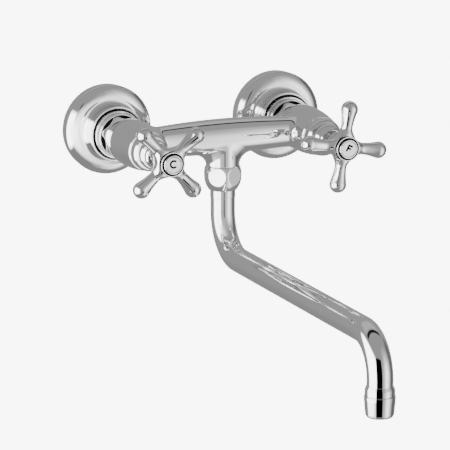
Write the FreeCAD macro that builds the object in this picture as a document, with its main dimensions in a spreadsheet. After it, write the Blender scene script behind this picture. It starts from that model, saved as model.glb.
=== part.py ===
import FreeCAD, Part
import math
import os
import Sketcher

# Wall-mounted two-handle kitchen mixer: a cast bridge between two inlet barrels, a screw-down
# valve with a cross handle in each barrel, and a swivelling S-spout under the middle.
#
# Frame: millimetres, +Z up. The wall is the plane Y = 0 and the tap stands out towards -Y.
# The origin lies on the wall, midway between the axes of the two wall inlets.
# Pieces of a valve are drawn along their own Z axis, where z is the distance from the wall.

SIZES = (
    # name, value, what it is
    ("inlet_spacing", 150.0, "between the axes of the two wall inlets"),
    ("eccentric_offset", 8.0, "tap axis above the wall inlets' axes"),
    ("bridge_out", 73.0, "wall to the axis of bridge and spout"),
    ("thread_gap", 0.05, "radial clearance in a screwed or pushed joint"),
    ("running_gap", 0.05, "radial clearance of a turning or sliding fit"),
    ("play", 0.05, "axial clearance between faces that turn on each other"),

    ("flange_radius", 37.0, "wall flange, widest"),
    ("flange_height", 16.0, "wall to the crest of its dome"),
    ("flange_crest", 10.5, "widest edge of the flange inwards to the crest of its dome"),
    ("flange_dome", 12.8, "radius of the dome's curve"),
    ("flange_edge", 3.0, "rounding between dome and rim"),
    ("flange_taper", 0.6, "how much smaller the back edge is"),
    ("flange_wall", 1.5, "thickness of the shell"),
    ("flange_cove", 4.7, "radius of the hollow between dome and neck"),
    ("flange_neck", 5.8, "straight length of the neck"),
    ("flange_flare", 1.1, "how far the lip stands out from the neck"),
    ("flange_lip", 3.0, "length of the flared lip"),
    ("flange_web", 5.5, "thickness of the threaded web inside"),
    ("flange_hub_wall", 3.0, "wall of the threaded hub"),
    ("flange_hub", 2.5, "how far the hub stands in front of the web"),

    ("wall_thread_radius", 10.48, "half-inch male thread that enters the wall"),
    ("wall_thread_length", 18.0, "length of that thread"),
    ("eccentric_seat_radius", 11.6, "root of the crank at the wall"),
    ("eccentric_crank", 12.0, "length of the cranked part"),
    ("eccentric_length", 38.0, "wall to the front end of the eccentric"),
    ("eccentric_bore", 7.2, "radius of its bore at the wall"),
    ("union_thread_radius", 13.22, "three-quarter-inch male thread at its front"),
    ("union_bore", 9.0, "radius of its bore at the front"),

    ("washer_thickness", 2.0, "flat sealing washer of the union"),
    ("washer_edge", 0.8, "how far the washer stays inside the thread"),
    ("union_nut_engagement", 10.0, "thread covered by the union nut"),
    ("union_nut_length", 22.0, "length of the union nut"),
    ("union_nut_skirt_radius", 19.7, "round skirt at its open end"),
    ("union_nut_skirt", 5.6, "length of the skirt"),
    ("union_nut_collar_radius", 18.0, "round collar in front of the skirt"),
    ("union_nut_collar", 4.4, "length of the collar"),
    ("union_nut_edge", 0.5, "rounding of skirt and collar"),
    ("union_nut_end_radius", 16.3, "union nut where its hexagon begins"),
    ("union_nut_radius", 16.8, "hexagon, widest"),
    ("union_nut_widest", 2.0, "beginning of the hexagon to its widest place"),
    ("union_nut_small_radius", 12.2, "union nut at its closed end"),
    ("union_nut_flats", 30.6, "across its six flats"),
    ("tail_flange", 2.6, "thickness of the tailpiece's flange"),
    ("tail_edge", 0.5, "clearance round that flange in the nut"),
    ("tail_radius", 9.9, "neck of the tailpiece"),
    ("tail_bore", 7.0, "radius of its bore"),
    ("tail_neck", 12.2, "its flange to the back of the tap body"),
    ("tail_thread", 9.0, "length screwed into the tap body"),

    ("barrel_length", 45.2, "length of a valve barrel"),
    ("barrel_radius", 18.9, "barrel, widest"),
    ("barrel_widest", 15.2, "back end to the widest place"),
    ("barrel_curve", 158.0, "radius of the barrel's swelling"),
    ("barrel_bead_radius", 16.9, "bead round the back end"),
    ("barrel_bead", 1.4, "width of the bead"),
    ("barrel_groove", 0.5, "depth and width of the groove beside it"),
    ("barrel_shoulder", 1.2, "rounding at the front and the back"),
    ("inlet_thread_radius", 10.48, "half-inch female thread at the back"),
    ("seat_wall", 2.6, "wall that carries the valve seat"),
    ("seat_radius", 6.0, "hole of the valve seat"),
    ("chamber_radius", 9.3, "water chamber in front of the seat"),
    ("chamber_length", 17.0, "seat to the headwork's thread"),
    ("port_radius", 4.8, "waterway along the bridge"),

    ("bridge_radius", 14.4, "bridge at the middle"),
    ("bridge_quarter_radius", 13.5, "bridge halfway to a barrel"),
    ("bridge_end_radius", 11.3, "bridge at the barrels"),
    ("bridge_rise", 0.9, "how far its middle is arched up"),
    ("collar_radius", 13.6, "spout collar at the nut"),
    ("collar_drop", 23.0, "tap axis to the top of the spout nut"),
    ("collar_flare", 12.5, "how far the collar widens along the bridge"),
    ("collar_slimming", 1.4, "how much slimmer it is across, up at the tap axis"),
    ("spigot_radius", 12.4, "male thread for the spout nut"),
    ("spigot_length", 13.0, "length of that thread"),
    ("spout_socket_radius", 9.15, "bore that the spout turns in"),

    ("spout_nut_length", 20.0, "length of the spout nut"),
    ("spout_nut_end_radius", 13.75, "spout nut at its top"),
    ("spout_nut_radius", 15.8, "spout nut, widest"),
    ("spout_nut_widest", 7.0, "its top to the widest place"),
    ("spout_nut_small_radius", 11.3, "spout nut at its lower end"),
    ("spout_nut_flats", 28.2, "across its six flats"),
    ("spout_nut_turn", 21.0, "angle of a flat from straight ahead"),
    ("slip_washer", 1.0, "thickness of a nylon slip washer"),
    ("swivel_flange", 2.4, "flange that hangs the spout in its nut"),
    ("swivel_flange_radius", 11.6, "radius of that flange"),
    ("swivel_bore", 6.4, "bore of the swivel"),
    ("swivel_reach", 10.5, "how far the swivel enters its socket"),
    ("swivel_groove", 2.7, "spigot's end to the swivel's first groove"),
    ("swivel_groove_pitch", 3.6, "first groove to the second"),
    ("band_radius", 10.3, "visible band above the tube"),
    ("band_length", 6.3, "length of that band"),
    ("tube_socket", 6.0, "length pushed into the tube"),

    ("tube_radius", 10.0, "spout tube, outside"),
    ("tube_wall", 1.2, "wall of the spout tube"),
    ("spout_reach", 305.0, "swivel axis to outlet axis"),
    ("upper_straight", 11.35, "straight part of the tube above its first bend"),
    ("arm_rise", 4.0, "how much the arm climbs over its reach"),
    ("first_bend", 34.0, "radius of the tube's first bend"),
    ("second_bend", 31.0, "radius of the tube's second bend"),
    ("lower_straight", 11.49, "straight part from the second bend to the aerator's joint line"),
    ("bush_length", 7.5, "outlet bush, the part over the tube"),
    ("bush_radius", 11.4, "outlet bush, outside"),
    ("bush_edge", 0.4, "thickness of its upper edge"),
    ("bush_flare", 3.2, "height of the curve from tube to bush"),
    ("nose_radius", 10.6, "male thread for the aerator"),
    ("nose_length", 6.0, "length of that thread"),

    ("aerator_radius", 11.9, "aerator housing, outside"),
    ("aerator_length", 16.4, "length of the housing"),
    ("aerator_straight", 2.5, "straight part of it below the joint line"),
    ("aerator_foot_radius", 10.9, "housing at its lower edge"),
    ("aerator_round", 2.4, "rounding of the lower edge"),
    ("aerator_lip", 1.6, "inward lip that holds the insert"),
    ("aerator_mouth", 8.9, "radius of the mouth"),
    ("aerator_joint", 0.3, "dark joint line above the housing"),
    ("aerator_seal", 1.5, "rubber washer of the aerator"),
    ("insert_rim", 1.2, "rim of the aerator insert"),
    ("insert_radius", 9.6, "body of the insert"),
    ("insert_wall", 1.0, "wall of the insert"),
    ("insert_holes", 0.9, "radius of its jet holes"),
    ("insert_hole_circle", 5.5, "radius of the circle they stand on"),
    ("screen_thickness", 0.4, "one woven screen"),
    ("screen_spacing", 0.9, "pitch of the screens"),

    ("headwork_thread_radius", 10.48, "half-inch thread of the headwork"),
    ("headwork_thread", 14.0, "length of that thread"),
    ("headwork_skirt_radius", 8.8, "skirt that guides the plunger"),
    ("headwork_skirt", 4.8, "length of the skirt behind the thread"),
    ("headwork_flats", 24.0, "across the flats of its hexagon"),
    ("headwork_hexagon", 5.0, "thickness of the hexagon"),
    ("headwork_nose_radius", 8.0, "nose that carries the shroud"),
    ("headwork_nose", 16.0, "length of the nose"),
    ("gasket_thickness", 1.0, "fibre gasket under the hexagon"),
    ("gasket_radius", 12.4, "outside of that gasket"),
    ("guide_step", 0.6, "front of the thread to the end of the guide"),

    ("seat_washer_radius", 7.0, "rubber seat washer"),
    ("seat_washer_thickness", 3.5, "its thickness"),
    ("seat_contact", 0.05, "closed washer to its seat"),
    ("plunger_head_radius", 7.3, "head of the plunger"),
    ("plunger_head", 3.0, "thickness of that head"),
    ("plunger_flats", 12.0, "across the flats of its stem"),
    ("plunger_stem", 17.4, "length of the stem"),
    ("plunger_web", 3.4, "solid part of the stem"),
    ("plunger_travel", 5.0, "lift of the washer when fully open"),
    ("washer_screw_radius", 2.0, "thread of the washer screw"),
    ("washer_screw_length", 4.0, "its length in the plunger"),
    ("washer_screw_head_radius", 3.6, "its head"),
    ("washer_screw_head", 1.8, "thickness of its head"),

    ("spindle_screw_radius", 3.95, "thread that drives the plunger"),
    ("spindle_end_gap", 5.6, "its end to the plunger's web when closed"),
    ("spindle_shoulder_radius", 5.95, "shoulder that keeps it in"),
    ("spindle_shoulder", 2.4, "thickness of the shoulder"),
    ("spindle_radius", 4.5, "neck of the spindle"),
    ("spindle_spline_radius", 3.9, "splined end for the handle"),
    ("o_ring_groove", 3.4, "radius of the groove's floor"),
    ("o_ring_width", 1.8, "width of a groove"),
    ("o_ring_first", 5.0, "shoulder to the first groove"),
    ("o_ring_pitch", 5.0, "first groove to the second"),
    ("clip_groove", 3.7, "radius of the clip's groove"),
    ("clip_thickness", 1.0, "retaining clip"),
    ("clip_radius", 6.2, "outside of the clip"),

    ("shroud_radius", 15.4, "shroud at the barrel"),
    ("shroud_wall", 1.1, "thickness of the shroud"),
    ("shroud_room", 0.6, "room in front of the headwork's hexagon"),
    ("shroud_band", 8.6, "length of its first band"),
    ("shroud_groove_radius", 14.0, "groove in front of that band"),
    ("shroud_groove", 1.4, "width of each groove"),
    ("shroud_ring_radius", 14.6, "second ring"),
    ("shroud_ring", 4.6, "length of the second ring"),
    ("shroud_neck_radius", 12.9, "groove in front of the second ring"),
    ("shroud_cap_radius", 13.3, "third ring"),
    ("shroud_front_radius", 12.1, "third ring at its front"),
    ("shroud_length", 23.0, "length of the shroud"),
    ("shroud_web", 6.0, "length of its threaded web"),
    ("shroud_recess_radius", 10.4, "recess round the spindle"),
    ("shroud_recess", 5.0, "depth of that recess"),

    ("handle_gap", 8.0, "shroud to the back of the handle"),
    ("hub_radius", 10.2, "hub of the cross handle"),
    ("hub_back_radius", 9.3, "hub at its back"),
    ("hub_length", 23.3, "length of the hub"),
    ("hub_round", 0.7, "rounding of the hub's edges"),
    ("hub_rim", 1.4, "how far the rim round the cap stands out of the hub"),
    ("hub_rim_step", 0.15, "rounded edge of the hub to that rim"),
    ("arm_plane", 13.5, "back of the hub to the arms' axes"),
    ("arm_radius", 4.1, "neck of an arm"),
    ("arm_neck", 14.0, "hub axis to the end of the plain neck"),
    ("knob_radius", 6.85, "rounded end of an arm"),
    ("arm_reach", 37.5, "hub axis to the tip of an arm"),
    ("arm_fillet", 1.6, "rounding between hub and arm"),
    ("hot_turn", 41.0, "how far the left cross stands turned"),
    ("cold_turn", -9.15, "how far the right cross stands turned"),
    ("spline_depth", 12.0, "how far the spindle enters the hub"),
    ("screw_web", 3.0, "hub wall under the handle screw"),
    ("screw_radius", 2.0, "handle screw"),
    ("screw_length", 12.0, "length of the handle screw"),
    ("screw_head_radius", 3.7, "its head"),
    ("screw_head", 2.4, "thickness of its head"),
    ("cap_radius", 8.4, "index cap"),
    ("cap_thickness", 2.4, "thickness of its disc"),
    ("cap_bevel", 1.1, "bevel round its face"),
    ("cap_proud", 0.9, "how far it stands out of the hub"),
    ("cap_gap", 0.5, "groove between cap and hub"),
    ("cap_spigot_radius", 7.2, "spigot pushed into the hub"),
    ("cap_spigot", 4.0, "length of the spigot"),
    ("cap_spigot_wall", 1.4, "wall of the spigot"),
    ("letter_height", 5.9, "index letter"),
    ("letter_width", 4.2, "bars of the letter F"),
    ("letter_stroke", 1.2, "width of its strokes"),
    ("letter_depth", 0.35, "depth of the enamel"),
    ("letter_lift", 0.7, "how far the letter stands above the cap's middle"),
    ("letter_opening", 42.0, "half the opening of the letter C"),
    ("hot_letter_turn", 0.0, "how far the C stands turned"),
    ("cold_letter_turn", -27.0, "how far the F stands turned"),
)


class Size:
    """A length or angle: its value now, and the formula that ties it to the sheet."""

    def __init__(self, value, formula):
        self.value = value
        self.formula = formula

    def __add__(self, other):
        other = as_size(other)
        return Size(self.value + other.value, f"({self.formula} + {other.formula})")

    def __sub__(self, other):
        other = as_size(other)
        return Size(self.value - other.value, f"({self.formula} - {other.formula})")

    def __mul__(self, other):
        other = as_size(other)
        return Size(self.value * other.value, f"({self.formula} * {other.formula})")

    def __truediv__(self, other):
        other = as_size(other)
        return Size(self.value / other.value, f"({self.formula} / {other.formula})")

    def __neg__(self):
        return Size(-self.value, f"(0 - {self.formula})")


def as_size(number):
    """A plain number as a size; a size stays as it is."""
    if isinstance(number, Size):
        return number
    return Size(float(number), f"{float(number):.6f}")


def root(size):
    """Square root of a size."""
    return Size(math.sqrt(size.value), f"sqrt({size.formula})")


def cosine(angle):
    """Cosine of an angle in degrees."""
    angle = as_size(angle)
    return Size(math.cos(math.radians(angle.value)), f"cos({angle.formula} * 1 deg)")


def sine(angle):
    """Sine of an angle in degrees."""
    angle = as_size(angle)
    return Size(math.sin(math.radians(angle.value)), f"sin({angle.formula} * 1 deg)")


def swell(rise, run):
    """Radius of the arc that leaves a straight line tangentially and drifts by rise over run."""
    return (rise * rise + run * run) / (rise * 2)


def size_sheet(document):
    """Write the sizes into the sheet and give them back by name."""
    sheet = document.addObject("Spreadsheet::Sheet", "Sizes")
    sizes = {}
    for row, (name, value, meaning) in enumerate(SIZES, start=1):
        sheet.set(f"A{row}", meaning)
        sheet.set(f"B{row}", str(value))
        sheet.setAlias(f"B{row}", name)
        sizes[name] = Size(value, f"Sizes.{name}")
    document.recompute()
    return sizes


DOC = FreeCAD.newDocument("KitchenMixer")
S = size_sheet(DOC)
NODES = []

ALONG_VALVE = FreeCAD.Rotation(FreeCAD.Vector(1, 0, 0), 90)
UPRIGHT = FreeCAD.Rotation()
SIDES = (
    ("hot", -1, S["hot_turn"], S["hot_letter_turn"]),
    ("cold", 1, S["cold_turn"], S["cold_letter_turn"]),
)


def new_body(label):
    """A body that becomes one node of the model."""
    body = DOC.addObject("PartDesign::Body", label)
    body.Label = label
    NODES.append(body)
    return body


def place(body, x, y, z, rotation):
    """Put a body at its place in the tap."""
    body.Placement = FreeCAD.Placement(FreeCAD.Vector(x.value, y.value, z.value), rotation)
    for axis, distance in (("x", x), ("y", y), ("z", z)):
        body.setExpression(f"Placement.Base.{axis}", distance.formula)


def place_on_valve(body, side, turn=0.0):
    """Put a piece of a valve on its inlet axis, turned about that axis as seen from the front."""
    about = FreeCAD.Rotation(FreeCAD.Vector(0, 0, 1), turn)
    x = S["inlet_spacing"] / 2 * side
    place(body, x, as_size(0), S["eccentric_offset"], ALONG_VALVE.multiply(about))


def place_on_spout(body, reach=0.0):
    """Put a piece upright under the bridge, or further out where the outlet is."""
    place(body, as_size(0), -(S["bridge_out"] + reach), S["eccentric_offset"], UPRIGHT)


def origin_feature(body, role):
    """One of a body's own base planes or axes."""
    return next(item for item in body.Origin.OriginFeatures if item.Role == role)


def new_sketch(body, name, plane, lift=None, shift=None):
    """A sketch on a base plane of its body, lifted off it or shifted along its X."""
    sketch = body.newObject("Sketcher::SketchObject", name)
    sketch.AttachmentSupport = [(origin_feature(body, plane), "")]
    sketch.MapMode = "FlatFace"
    if lift is not None:
        sketch.setExpression("AttachmentOffset.Base.z", lift.formula)
    if shift is not None:
        sketch.setExpression("AttachmentOffset.Base.x", shift.formula)
    return sketch


def fix_point(sketch, geometry, end, x, y):
    """Hold one end of a line or arc, or a circle's centre, at x, y of the sketch."""
    for kind, distance, axis in (("DistanceX", x, -2), ("DistanceY", y, -1)):
        if isinstance(distance, Size):
            rule = Sketcher.Constraint(kind, -1, 1, geometry, end, distance.value)
            index = sketch.addConstraint(rule)
            sketch.setExpression(f"Constraints[{index}]", distance.formula)
        else:
            sketch.addConstraint(Sketcher.Constraint("PointOnObject", geometry, end, axis))


def fix_radius(sketch, geometry, radius):
    """Give an arc or circle its radius."""
    index = sketch.addConstraint(Sketcher.Constraint("Radius", geometry, radius.value))
    sketch.setExpression(f"Constraints[{index}]", radius.formula)


def arc_between(start, end, radius, turn):
    """The arc of under half a circle from start to end; turn is +1 to the left, -1 to the right."""
    chord = end - start
    middle = (start + end) * 0.5
    height = math.sqrt(max(radius ** 2 - (chord.Length / 2) ** 2, 0.0))
    across = FreeCAD.Vector(-chord.y, chord.x, 0).normalize() * (height * turn)
    centre = middle + across
    first, last = (start, end) if turn > 0 else (end, start)
    begin = math.atan2(first.y - centre.y, first.x - centre.x)
    finish = math.atan2(last.y - centre.y, last.x - centre.x)
    circle = Part.Circle(centre, FreeCAD.Vector(0, 0, 1), radius)
    return Part.ArcOfCircle(circle, begin, finish)


def draw_chain(sketch, points, closed):
    """Lines and arcs from point to point.

    A point is (x, y), reached by a line, or (x, y, radius, turn), reached by an arc.
    A coordinate that is the number 0 lies on the sketch's axis.
    """
    places = [FreeCAD.Vector(as_size(p[0]).value, as_size(p[1]).value, 0) for p in points]
    first = 0 if closed else 1
    ends = []
    for index in range(first, len(points)):
        start, end = places[index - 1], places[index]
        if len(points[index]) == 2:
            geometry = sketch.addGeometry(Part.LineSegment(start, end), False)
            ends.append((geometry, 1, 2))
        else:
            radius, turn = points[index][2:]
            geometry = sketch.addGeometry(arc_between(start, end, radius.value, turn), False)
            ends.append((geometry, 1, 2) if turn > 0 else (geometry, 2, 1))
    for index in range(first, len(ends)):
        before, after = ends[index - 1], ends[index]
        sketch.addConstraint(
            Sketcher.Constraint("Coincident", before[0], before[2], after[0], after[1])
        )
    for index, (geometry, _, end) in enumerate(ends, start=first):
        fix_point(sketch, geometry, end, points[index][0], points[index][1])
        if len(points[index]) == 4:
            fix_radius(sketch, geometry, points[index][2])
    if not closed:
        fix_point(sketch, ends[0][0], ends[0][1], points[0][0], points[0][1])


def draw_circle(sketch, radius, x=0, y=0):
    """A circle round x, y."""
    centre = FreeCAD.Vector(as_size(x).value, as_size(y).value, 0)
    circle = Part.Circle(centre, FreeCAD.Vector(0, 0, 1), radius.value)
    geometry = sketch.addGeometry(circle, False)
    fix_point(sketch, geometry, 3, x, y)
    fix_radius(sketch, geometry, radius)


def draw_ellipse(sketch, along, across, x=0, y=0):
    """An ellipse round x, y with its longer half-axis along the sketch's X."""
    centre = FreeCAD.Vector(as_size(x).value, as_size(y).value, 0)
    geometry = sketch.addGeometry(Part.Ellipse(centre, along.value, across.value), False)
    sketch.exposeInternalGeometry(geometry)
    long_axis, short_axis = geometry + 1, geometry + 2
    sketch.addConstraint(Sketcher.Constraint("Horizontal", long_axis))
    fix_point(sketch, geometry, 3, x, y)
    for line, half in ((long_axis, along), (short_axis, across)):
        index = sketch.addConstraint(Sketcher.Constraint("Distance", line, half.value * 2))
        sketch.setExpression(f"Constraints[{index}]", (half * 2).formula)


def draw_hexagon(sketch, flats, turn=0.0):
    """A hexagon across its flats, with one flat square to the direction turn."""
    corner = flats / cosine(30) / 2
    points = []
    for number in range(6):
        angle = as_size(turn) + (30 + 60 * number)
        points.append((cosine(angle) * corner, sine(angle) * corner))
    draw_chain(sketch, points, closed=True)


def turned(body, name, points, kind="PartDesign::Revolution", shift=None):
    """A turned shape, or with kind PartDesign::Groove a turned cut, about the upright axis."""
    sketch = new_sketch(body, f"{name}_profile", "XZ_Plane", shift=shift)
    draw_chain(sketch, points, closed=True)
    feature = body.newObject(kind, name)
    feature.Profile = sketch
    feature.ReferenceAxis = (sketch, ["V_Axis"])
    feature.Angle = 360
    return feature


def ring_points(inside, outside, low, high):
    """Profile of a plain ring or sleeve between two heights."""
    return [(inside, low), (outside, low), (outside, high), (inside, high)]


def plain_ring(label, inside, outside, low, high):
    """A node that is one plain ring."""
    body = new_body(label)
    turned(body, f"{label}_ring", ring_points(inside, outside, low, high))
    return body


def extruded(body, name, sketch, length, kind="PartDesign::Pad"):
    """A pad, or with kind PartDesign::Pocket a cut, upwards from its sketch."""
    feature = body.newObject(kind, name)
    feature.Profile = sketch
    feature.Reversed = kind == "PartDesign::Pocket"
    feature.setExpression("Length", length.formula)
    return feature


def disc(body, name, radius, low, length, y=0, kind="PartDesign::Pad"):
    """A round pad or cut from the height low, its axis at y."""
    sketch = new_sketch(body, f"{name}_circle", "XY_Plane", lift=low)
    draw_circle(sketch, radius, 0, y)
    return extruded(body, name, sketch, length, kind)


def cut_flats(body, name, flats, low, length, outside, turn=0.0):
    """Mill six flats: what lies between the hexagon and a circle round it is cut away."""
    sketch = new_sketch(body, f"{name}_hexagon", "XY_Plane", lift=low)
    draw_hexagon(sketch, flats, turn)
    draw_circle(sketch, outside)
    return extruded(body, name, sketch, length, "PartDesign::Pocket")


# Places along a valve, as distances from the wall.
union_nut_back = S["eccentric_length"] - S["union_nut_engagement"]
union_nut_front = union_nut_back + S["union_nut_length"]
tail_back = S["eccentric_length"] + S["washer_thickness"]
tail_flange_front = tail_back + S["tail_flange"]
barrel_back = tail_flange_front + S["tail_neck"]
barrel_front = barrel_back + S["barrel_length"]
seat_back = barrel_back + S["tail_thread"]
seat_face = seat_back + S["seat_wall"]
thread_back = seat_face + S["chamber_length"]
hexagon_back = barrel_front + S["gasket_thickness"]
hexagon_front = hexagon_back + S["headwork_hexagon"]
nose_front = hexagon_front + S["headwork_nose"]
guide_back = thread_back - S["headwork_skirt"]
guide_front = thread_back + S["headwork_thread"] + S["guide_step"]
plunger_back = seat_face + S["seat_contact"] + S["seat_washer_thickness"]
stem_back = plunger_back + S["plunger_head"]
stem_web = stem_back + S["plunger_web"]
stem_front = stem_back + S["plunger_stem"]
spindle_back = stem_web + S["spindle_end_gap"]
shoulder_front = guide_front - S["play"]
shoulder_back = shoulder_front - S["spindle_shoulder"]
clip_back = nose_front + S["play"]
clip_front = clip_back + S["clip_thickness"]
shroud_front = barrel_front + S["shroud_length"]
hub_back = shroud_front + S["handle_gap"]
hub_front = hub_back + S["hub_length"]
spline_front = hub_back + S["spline_depth"]
screw_seat = spline_front + S["screw_web"]
cap_front = hub_front + S["cap_proud"]
cap_back = cap_front - S["cap_thickness"]
cap_recess = hub_front - (S["cap_thickness"] - S["cap_proud"])

# Places under the bridge, as heights above the tap's axis.
collar_low = -S["collar_drop"]
spigot_low = collar_low - S["spigot_length"]
spout_nut_low = collar_low - S["spout_nut_length"]
swivel_top = spigot_low + S["swivel_reach"]
flange_top = spigot_low - S["slip_washer"] - S["play"]
flange_low = flange_top - S["swivel_flange"]
lower_washer_top = flange_low - S["play"]
spout_nut_shoulder = lower_washer_top - S["slip_washer"]
tube_top = spout_nut_low - S["band_length"]
arm_length = root(S["spout_reach"] * S["spout_reach"] + S["arm_rise"] * S["arm_rise"])
# Tangent of half the turn of a bend: (1 + sine of the climb) / cosine of the climb.
half_turn = (arm_length + S["arm_rise"]) / S["spout_reach"]
first_run = S["first_bend"] * half_turn
second_run = S["second_bend"] * half_turn
arm_start = tube_top - S["upper_straight"] - first_run
arm_end = arm_start + S["arm_rise"]
joint_line = arm_end - second_run - S["lower_straight"]
housing_top = joint_line - S["aerator_joint"]
housing_low = housing_top - S["aerator_length"]
nose_low = joint_line - S["nose_length"]
insert_top = nose_low - S["aerator_seal"]
lip_top = housing_low + S["aerator_lip"]
tube_bore = S["tube_radius"] - S["tube_wall"]

# Sections of the spout collar: share of its drop, and share of its flare that is left there.
COLLAR_SECTIONS = ((0.26, 1.0), (0.52, 0.38), (0.76, 0.08))
# How far a milling or slotting outline reaches past the metal.
OVERCUT = 2.0
# Turn of the union nuts' flats from straight sideways, in degrees.
UNION_NUT_TURN = 15.0
JET_HOLES = 12


def wall_flange(name, side):
    """Bell-shaped cover of the wall connection, screwed onto the eccentric by its inner web."""
    body = new_body(f"{name}_wall_flange")
    wall = S["flange_wall"]
    crest = S["flange_radius"] - S["flange_crest"]
    dome, edge = S["flange_dome"], S["flange_edge"]
    crest_front = S["flange_height"]
    dome_centre = crest_front - dome
    edge_centre = S["flange_radius"] - edge
    # Dome and edge touch on the line through their centres.
    across = S["flange_crest"] - edge
    along = root((dome - edge) * (dome - edge) - across * across)
    edge_front = dome_centre + along
    across_share = across / (dome - edge)
    along_share = along / (dome - edge)
    inner_dome = dome - wall
    neck = crest - S["flange_cove"]
    cove_front = crest_front + S["flange_cove"]
    neck_front = cove_front + S["flange_neck"]
    lip_front = neck_front + S["flange_lip"]
    lip = neck + S["flange_flare"]
    flare = swell(S["flange_flare"], S["flange_lip"])
    inner_wall = neck - wall
    lip_round = (lip - inner_wall) / 2
    inner_front = crest_front - wall
    hub_bore = S["union_thread_radius"] + S["thread_gap"]
    hub = hub_bore + S["flange_hub_wall"]
    web_front = inner_front + S["flange_web"]
    turned(body, f"{name}_bell", [
        (S["flange_radius"] - S["flange_taper"] - wall, as_size(0)),
        (S["flange_radius"] - S["flange_taper"], as_size(0)),
        (S["flange_radius"], edge_front),
        (crest + dome * across_share, dome_centre + dome * along_share, edge, 1),
        (crest, crest_front, dome, 1),
        (neck, cove_front, S["flange_cove"], -1),
        (neck, neck_front),
        (lip, lip_front, flare, -1),
        (inner_wall + lip_round, lip_front + lip_round, lip_round, 1),
        (inner_wall, lip_front, lip_round, 1),
        (inner_wall, web_front),
        (hub, web_front),
        (hub, web_front + S["flange_hub"]),
        (hub_bore, web_front + S["flange_hub"]),
        (hub_bore, inner_front),
        (crest, inner_front),
        (crest + inner_dome * across_share, dome_centre + inner_dome * along_share,
         inner_dome, -1),
        (S["flange_radius"] - wall, edge_front, edge - wall, -1),
    ])
    place_on_valve(body, side)


def eccentric_union(name, side):
    """Cranked connector: its tail is screwed into the wall inlet, its front takes the nut."""
    body = new_body(f"{name}_eccentric_union")
    low = -S["eccentric_offset"]
    crank = S["eccentric_crank"]
    tail = -S["wall_thread_length"]
    front = S["eccentric_length"] - crank
    disc(body, f"{name}_wall_thread", S["wall_thread_radius"], tail, -tail, y=low)
    wall_end = new_sketch(body, f"{name}_crank_back", "XY_Plane")
    draw_circle(wall_end, S["eccentric_seat_radius"], 0, low)
    tap_end = new_sketch(body, f"{name}_crank_front", "XY_Plane", lift=crank)
    draw_circle(tap_end, S["union_thread_radius"])
    loft = body.newObject("PartDesign::AdditiveLoft", f"{name}_crank")
    loft.Profile = wall_end
    loft.Sections = [tap_end]
    disc(body, f"{name}_union_thread", S["union_thread_radius"], crank, front)
    cut = "PartDesign::Pocket"
    disc(body, f"{name}_wall_bore", S["eccentric_bore"], tail, -tail, y=low, kind=cut)
    wall_bore = new_sketch(body, f"{name}_bore_back", "XY_Plane")
    draw_circle(wall_bore, S["eccentric_bore"], 0, low)
    tap_bore = new_sketch(body, f"{name}_bore_front", "XY_Plane", lift=crank)
    draw_circle(tap_bore, S["union_bore"])
    hollow = body.newObject("PartDesign::SubtractiveLoft", f"{name}_crank_bore")
    hollow.Profile = wall_bore
    hollow.Sections = [tap_bore]
    disc(body, f"{name}_front_bore", S["union_bore"], crank, front, kind=cut)
    place_on_valve(body, side)


def domed_nut_points(outside, bore, hole, shoulder, length):
    """Half section of a domed nut along its axis, from its open end at 0 towards +length.

    outside is the radius at the open end, at the widest place and at the closed end, and how
    far from the open end it is widest.
    """
    end, widest, small, swell_at = outside
    rear = swell(widest - end, swell_at)
    front = swell(widest - small, length - swell_at)
    return [
        (bore, as_size(0)),
        (end, as_size(0)),
        (widest, swell_at, rear, 1),
        (small, length, front, 1),
        (hole, length),
        (hole, shoulder),
        (bore, shoulder),
    ]


def union_nut(name, side):
    """Nut with a stepped skirt and a domed hexagon, pulls the tailpiece onto the eccentric."""
    body = new_body(f"{name}_union_nut")
    outside = (S["union_nut_end_radius"], S["union_nut_radius"],
               S["union_nut_small_radius"], S["union_nut_widest"])
    bore = S["union_thread_radius"] + S["thread_gap"]
    skirt, collar, edge = S["union_nut_skirt"], S["union_nut_collar"], S["union_nut_edge"]
    hexagon = skirt + collar
    dome = domed_nut_points(
        outside,
        bore=bore,
        hole=S["tail_radius"] + S["tail_edge"],
        shoulder=tail_flange_front - union_nut_back - hexagon,
        length=S["union_nut_length"] - hexagon,
    )
    profile = [
        (bore, as_size(0)),
        (S["union_nut_skirt_radius"] - edge, as_size(0)),
        (S["union_nut_skirt_radius"], edge, edge, 1),
        (S["union_nut_skirt_radius"], skirt - edge),
        (S["union_nut_skirt_radius"] - edge, skirt, edge, 1),
        (S["union_nut_collar_radius"], skirt),
        (S["union_nut_collar_radius"], hexagon - edge),
        (S["union_nut_collar_radius"] - edge, hexagon, edge, 1),
    ]
    profile += [(p[0], p[1] + hexagon) + tuple(p[2:]) for p in dome[1:]]
    points = [(p[0], p[1] + union_nut_back) + tuple(p[2:]) for p in profile]
    turned(body, f"{name}_dome", points)
    cut_flats(body, f"{name}_union_flats", S["union_nut_flats"], union_nut_back + hexagon,
              S["union_nut_length"] - hexagon, S["union_nut_collar_radius"] + OVERCUT,
              turn=UNION_NUT_TURN)
    place_on_valve(body, side)


def union_washer(name, side):
    """Flat washer between the eccentric and the tailpiece."""
    outside = S["union_thread_radius"] - S["washer_edge"]
    body = plain_ring(f"{name}_union_washer", S["union_bore"], outside,
                      S["eccentric_length"], tail_back)
    place_on_valve(body, side)


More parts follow.
